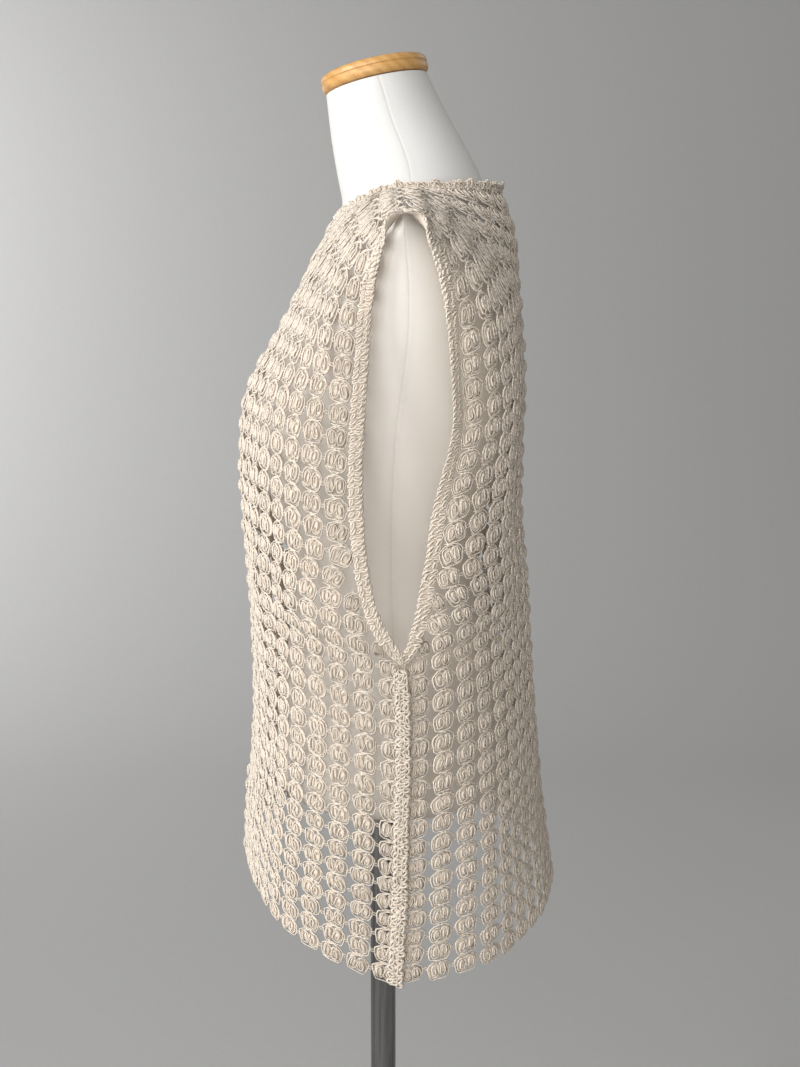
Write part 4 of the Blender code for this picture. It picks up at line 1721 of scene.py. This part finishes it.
@dataclass
class DressForm:
    """The padded torso and neck under a jersey cover."""

    name: str = "form_cover"
    rings_between: int = 5
    crowded_mm: float = 10.0
    rings_crowded: int = 2
    sides: int = 112
    clear_share: float = 0.6
    seam_angles: tuple[float, ...] = (3.0, 177.0, 90.0)
    seam_offsets: tuple[float, ...] = (-0.9, -0.45, 0.0, 0.45, 0.9)
    seam_depth: float = 0.2
    seam_width: float = 0.8
    seam_reach: float = 30.0
    sharp_degrees: float = 50.0

    def angles(self) -> Array:
        """Angles round the form, closer together at each seam."""
        even = np.linspace(0.0, 360.0, self.sides, endpoint=False)
        close = []
        for seam in self.seam_angles:
            close += [seam + offset for offset in self.seam_offsets]
        clear = 360.0 / self.sides * self.clear_share
        kept = [a for a in even if min(abs((a - c + 180.0) % 360.0 - 180.0) for c in close) > clear]
        return np.radians(np.sort(np.mod(np.array(kept + close), 360.0)))

    def heights(self) -> Array:
        """Ring heights, from the top down, with several between each pair of the table's lines."""
        keys = [ring.z for ring in FORM_RINGS]
        found = []
        for upper, lower in zip(keys, keys[1:]):
            crowded = upper - lower <= self.crowded_mm
            steps = self.rings_crowded if crowded else self.rings_between
            found += list(np.linspace(upper, lower, steps, endpoint=False))
        return np.array(found + [keys[-1]])

    def build(self, material: bpy.types.Material) -> Piece:
        """Make the form as one closed piece with shallow seams."""
        angles = self.angles()
        heights = self.heights()
        values = {}
        for name in FormRing._fields[1:]:
            values[name] = read_table(FORM_RINGS, "z", name, heights)[:, None]
        sine = np.sin(angles)[None]
        cosine = np.cos(angles)[None]
        power = 2.0 / values["fullness"]
        reach_y = np.where(sine > 0, values["back_y"], values["front_y"]) - values["side_y"]
        x = values["half_width"] * np.sign(cosine) * np.abs(cosine) ** power
        y = reach_y * np.abs(sine) ** power
        z = heights[:, None] + y * np.tan(np.radians(values["tilt"]))
        points = np.stack((x, values["side_y"] + y, z), axis=-1)
        across = np.roll(points, -1, axis=1) - np.roll(points, 1, axis=1)
        out = unit(np.cross(across, Z_AXIS))
        gap = self.seam_gap(points, angles)
        depth = self.seam_depth * np.exp(-(gap / self.seam_width) ** 2)
        points = points - out * depth[..., None]
        return self._close(points, gap, heights, material)

    def seam_gap(self, points: Array, angles: Array) -> Array:
        """How far each point is from the nearest seam in millimetres, up to the seams' reach."""
        gap = np.full(points.shape[:2], self.seam_reach)
        for seam in np.radians(self.seam_angles):
            nearest = int(np.argmin(np.abs(np.angle(np.exp(1j * (angles - seam))))))
            line = points[:, nearest:nearest + 1]
            gap = np.minimum(gap, np.linalg.norm(points - line, axis=-1))
        return gap

    def _close(
        self, points: Array, gap: Array, heights: Array, material: bpy.types.Material
    ) -> Piece:
        """Join the rings, close both ends and mark each corner with its distance from a seam."""
        rings, sides = points.shape[:2]
        flat = points.reshape(-1, 3)
        top = points[0].mean(axis=0)
        bottom = points[-1].mean(axis=0)
        faces = np.concatenate((
            grid_faces(rings, sides),
            closing_faces(0, sides, len(flat), True),
            closing_faces((rings - 1) * sides, sides, len(flat) + 1, False),
        ))
        along = np.broadcast_to(heights[:, None], (rings, sides)).reshape(-1)
        spots = np.stack((gap.reshape(-1), along), axis=-1)
        ends = ((self.seam_reach, heights[0]), (self.seam_reach, heights[-1]))
        spots = np.concatenate((spots, ends))
        maker = MeshMaker()
        maker.add(np.concatenate((flat, (top, bottom)))[None], faces, spots[faces])
        piece = maker.make(self.name, material, self.sharp_degrees)
        return seat(piece, Slot.COVER, "form_torso")


Profile = list[tuple[float, float]]
TURNED_SHARP_DEGREES = 40.0


def turned_piece(
    name: str, profile: Profile, sides: int, material: bpy.types.Material
) -> Piece:
    """A closed turned piece.

    Args:
        name: The piece's name.
        profile: Radii and heights from the bottom up, in millimetres.
        sides: How many points lie round it.
        material: Its finish.

    Returns:
        The new object.
    """
    angles = 2 * math.pi * np.arange(sides) / sides
    radii, heights = np.array(profile).T
    points = np.stack((
        radii[:, None] * np.cos(angles)[None],
        radii[:, None] * np.sin(angles)[None],
        np.broadcast_to(heights[:, None], (len(profile), sides)),
    ), axis=-1).reshape(-1, 3)
    faces = np.concatenate((
        grid_faces(len(profile), sides)[:, ::-1],
        closing_faces(0, sides, len(points), False),
        closing_faces((len(profile) - 1) * sides, sides, len(points) + 1, True),
    ))
    ends = ((0.0, 0.0, heights[0]), (0.0, 0.0, heights[-1]))
    maker = MeshMaker()
    maker.add(np.concatenate((points, ends))[None], faces, plain_marks(faces))
    return maker.make(name, material, TURNED_SHARP_DEGREES)


def rounded_corner(radius: float, z: float, bend: float, start: float, steps: int = 5) -> Profile:
    """A quarter bend of a turned profile.

    Args:
        radius: The bend's own middle, from the axis.
        z: The bend's own middle, up.
        bend: The bend's radius.
        start: The first angle in degrees: -90 for a lower rim, 0 for an upper one, 180 for a
            fillet from the top down.
        steps: How many steps it has.

    Returns:
        Radii and heights.
    """
    points = []
    for k in range(steps + 1):
        angle = math.radians(start + 90.0 * k / steps)
        points.append((radius + bend * math.cos(angle), z + bend * math.sin(angle)))
    return points


@dataclass
class NeckCap:
    """The turned wooden cap on the neck, tilted forward, with one groove round its rim."""

    radius: float = 50.0
    thickness: float = 16.0
    bend: float = 5.0
    crown: tuple[float, float] = (0.6, 0.2)
    underside: float = 0.3
    tilt_degrees: float = 12.5
    centre: Place = (0.0, -4.7, 1298.6)
    groove_z: float = 8.6
    groove_depth: float = 0.9
    groove_shape: tuple[tuple[float, float], ...] = (
        (-1.3, 0.0), (-0.6, 0.8), (0.0, 1.0), (0.6, 0.8), (1.3, 0.0)
    )
    corner_steps: int = 7
    sides: int = 112

    def build(self, material: bpy.types.Material) -> Piece:
        """Make the cap."""
        flat = self.radius - self.bend
        low = self.underside + self.bend
        high = self.thickness - self.bend
        profile = rounded_corner(flat, low, self.bend, -90.0, self.corner_steps)
        for offset, share in self.groove_shape:
            profile.append((self.radius - self.groove_depth * share, self.groove_z + offset))
        profile += rounded_corner(flat, high, self.bend, 0.0, self.corner_steps)
        profile.append((self.radius * self.crown[0], self.thickness + self.crown[1]))
        piece = turned_piece("neck_cap_wood", profile, self.sides, material)
        place = Matrix.Translation(Vector(self.centre) * MM)
        piece.data.transform(place @ Matrix.Rotation(math.radians(self.tilt_degrees), 4, "X"))
        return seat(piece, Slot.WOOD, "neck_cap")


@dataclass
class Stand:
    """The pole and the round base plate."""

    pole_radius: float = 12.5
    pole_chamfer: float = 0.8
    pole_sides: int = 96
    form_underside: float = 650.0
    gap: float = 0.3
    base_radius: float = 180.0
    base_thickness: float = 6.0
    base_foot: float = 1.0
    base_sides: int = 160
    hub_radius: float = 30.0
    hub_top: float = 42.0
    rim: float = 2.0
    fillet: float = 6.0

    def build(self, steel: bpy.types.Material, enamel: bpy.types.Material) -> None:
        """Make both pieces."""
        low = self.hub_top + self.gap
        high = self.form_underside - self.gap
        chamfer = self.pole_chamfer
        radius = self.pole_radius
        profile = [(radius, low + chamfer), (radius, high - chamfer)]
        profile = [(radius - chamfer, low), *profile, (radius - chamfer, high)]
        seat(turned_piece("pole_tube", profile, self.pole_sides, steel), Slot.STEEL, "pole")
        rim = self.rim
        foot = self.base_foot
        hub_foot = (self.hub_radius + self.fillet, self.base_thickness + self.fillet)
        profile = [(self.base_radius - foot, 0.0), (self.base_radius, foot)]
        profile += rounded_corner(self.base_radius - rim, self.base_thickness - rim, rim, 0.0)
        profile += rounded_corner(*hub_foot, self.fillet, 180.0)[::-1]
        profile += rounded_corner(self.hub_radius - rim, self.hub_top - rim, rim, 0.0)
        disc = turned_piece("base_disc", profile, self.base_sides, enamel)
        seat(disc, Slot.ENAMEL, "base_plate")


# Studio

class Lamp(NamedTuple):
    """A soft square light: its place, what it faces, its side in metres and its watts."""

    name: str
    place: Place
    aim: Place
    size: float
    power: float


LAMPS = (
    Lamp("key", (1.4, -2.3, 1.9), (0.0, 0.0, 0.95), 1.5, 63.0),
    Lamp("fill", (2.6, -0.7, 1.5), (0.0, 0.05, 0.9), 1.8, 42.0),
    Lamp("back", (-1.6, 1.8, 2.2), (0.0, 0.0, 0.9), 1.4, 5.0),
    Lamp("wall", (-2.0, -2.6, 1.7), (-3.6, -1.3, 1.3), 1.2, 44.0),
)


def set_up(thing: Piece, place: Place, aim: Place) -> None:
    """Put a light or a camera in its place, facing its aim, and link it."""
    thing.location = place
    way = Vector(aim) - Vector(place)
    thing.rotation_euler = way.to_track_quat("-Z", "Y").to_euler()
    bpy.context.scene.collection.objects.link(thing)


@dataclass
class Studio:
    """A pale paper floor that rises into a wall, soft lights and the camera."""

    camera_place: Place = (1.3369, 0.017, 1.0679)
    camera_aim: Place = (0.0, 0.017, 0.880)
    focal_px: float = 1400.0
    photo_height_px: float = 1067.0
    sensor: float = 36.0
    air_colour: Colour = (1.0, 0.985, 0.955)
    air_strength: float = 0.31
    wall_x: float = -3.6
    wall_height: float = 6.0
    bend: float = 1.6
    bend_steps: int = 16
    half_width: float = 9.0
    near_x: float = 9.0

    def build(self, material: bpy.types.Material) -> None:
        """Make the floor, the lights, the air's light and the camera."""
        self._floor(material)
        for lamp in LAMPS:
            data = bpy.data.lights.new(lamp.name, "AREA")
            data.shape = "SQUARE"
            data.size = lamp.size
            data.energy = lamp.power
            set_up(bpy.data.objects.new(lamp.name, data), lamp.place, lamp.aim)
        world = bpy.data.worlds.new("soft_air")
        world.use_nodes = True
        sky = world.node_tree.nodes["Background"]
        sky.inputs["Color"].default_value = (*self.air_colour, 1.0)
        sky.inputs["Strength"].default_value = self.air_strength
        bpy.context.scene.world = world
        bpy.context.scene.view_settings.view_transform = "Standard"
        self._camera()

    def _floor(self, material: bpy.types.Material) -> None:
        """A floor with a quarter bend up into the wall."""
        foot = self.wall_x + self.bend
        profile = [(self.near_x, 0.0), (foot, 0.0)]
        for k in range(1, self.bend_steps + 1):
            angle = math.radians(90.0 * k / self.bend_steps)
            x = foot - self.bend * math.sin(angle)
            profile.append((x, self.bend - self.bend * math.cos(angle)))
        profile.append((self.wall_x, self.wall_height))
        points = []
        faces = []
        for i, (x, z) in enumerate(profile):
            points += [(x, -self.half_width, z), (x, self.half_width, z)]
            if i:
                faces.append((2 * i - 2, 2 * i - 1, 2 * i + 1, 2 * i))
        mesh = bpy.data.meshes.new("studio_floor")
        mesh.from_pydata(points, [], faces)
        mesh.shade_smooth()
        mesh.materials.append(material)
        floor = bpy.data.objects.new("studio_floor", mesh)
        bpy.context.scene.collection.objects.link(floor)

    def _camera(self) -> None:
        """The camera at the photo's viewing angle."""
        data = bpy.data.cameras.new("camera")
        data.sensor_width = self.sensor
        data.lens = self.focal_px / self.photo_height_px * self.sensor
        camera = bpy.data.objects.new("camera", data)
        set_up(camera, self.camera_place, self.camera_aim)
        bpy.context.scene.camera = camera


def build_vest(surface: ClothSurface, yarn: bpy.types.Material) -> None:
    """Make both nets and all the edgings."""
    for side in Side:
        NetPanel(side, surface, side.value + "_panel").build(yarn)
    Edging("neck_edging", neck_ribbon(surface), "neckband").build(yarn)
    for label, hand in (("left", 1.0), ("right", -1.0)):
        ribbon = armhole_ribbon(surface, hand)
        Edging("armhole_edging_" + label, ribbon, "armhole_band_" + label).build(yarn)
        SideStrip("side_bobbles_" + label, surface, hand, "side_strip_" + label).build(yarn)


def main() -> None:
    """Build every piece in order and report each one."""
    logging.basicConfig(level=logging.INFO, format="%(name)s %(message)s")
    DressForm().build(CoverFinish().make())
    NeckCap().build(WoodFinish().make())
    Stand().build(SteelFinish().make(), EnamelFinish().make())
    build_vest(ClothSurface(), YarnFinish().make())
    Studio().build(StageFinish().make())


if __name__ == "__main__":
    main()
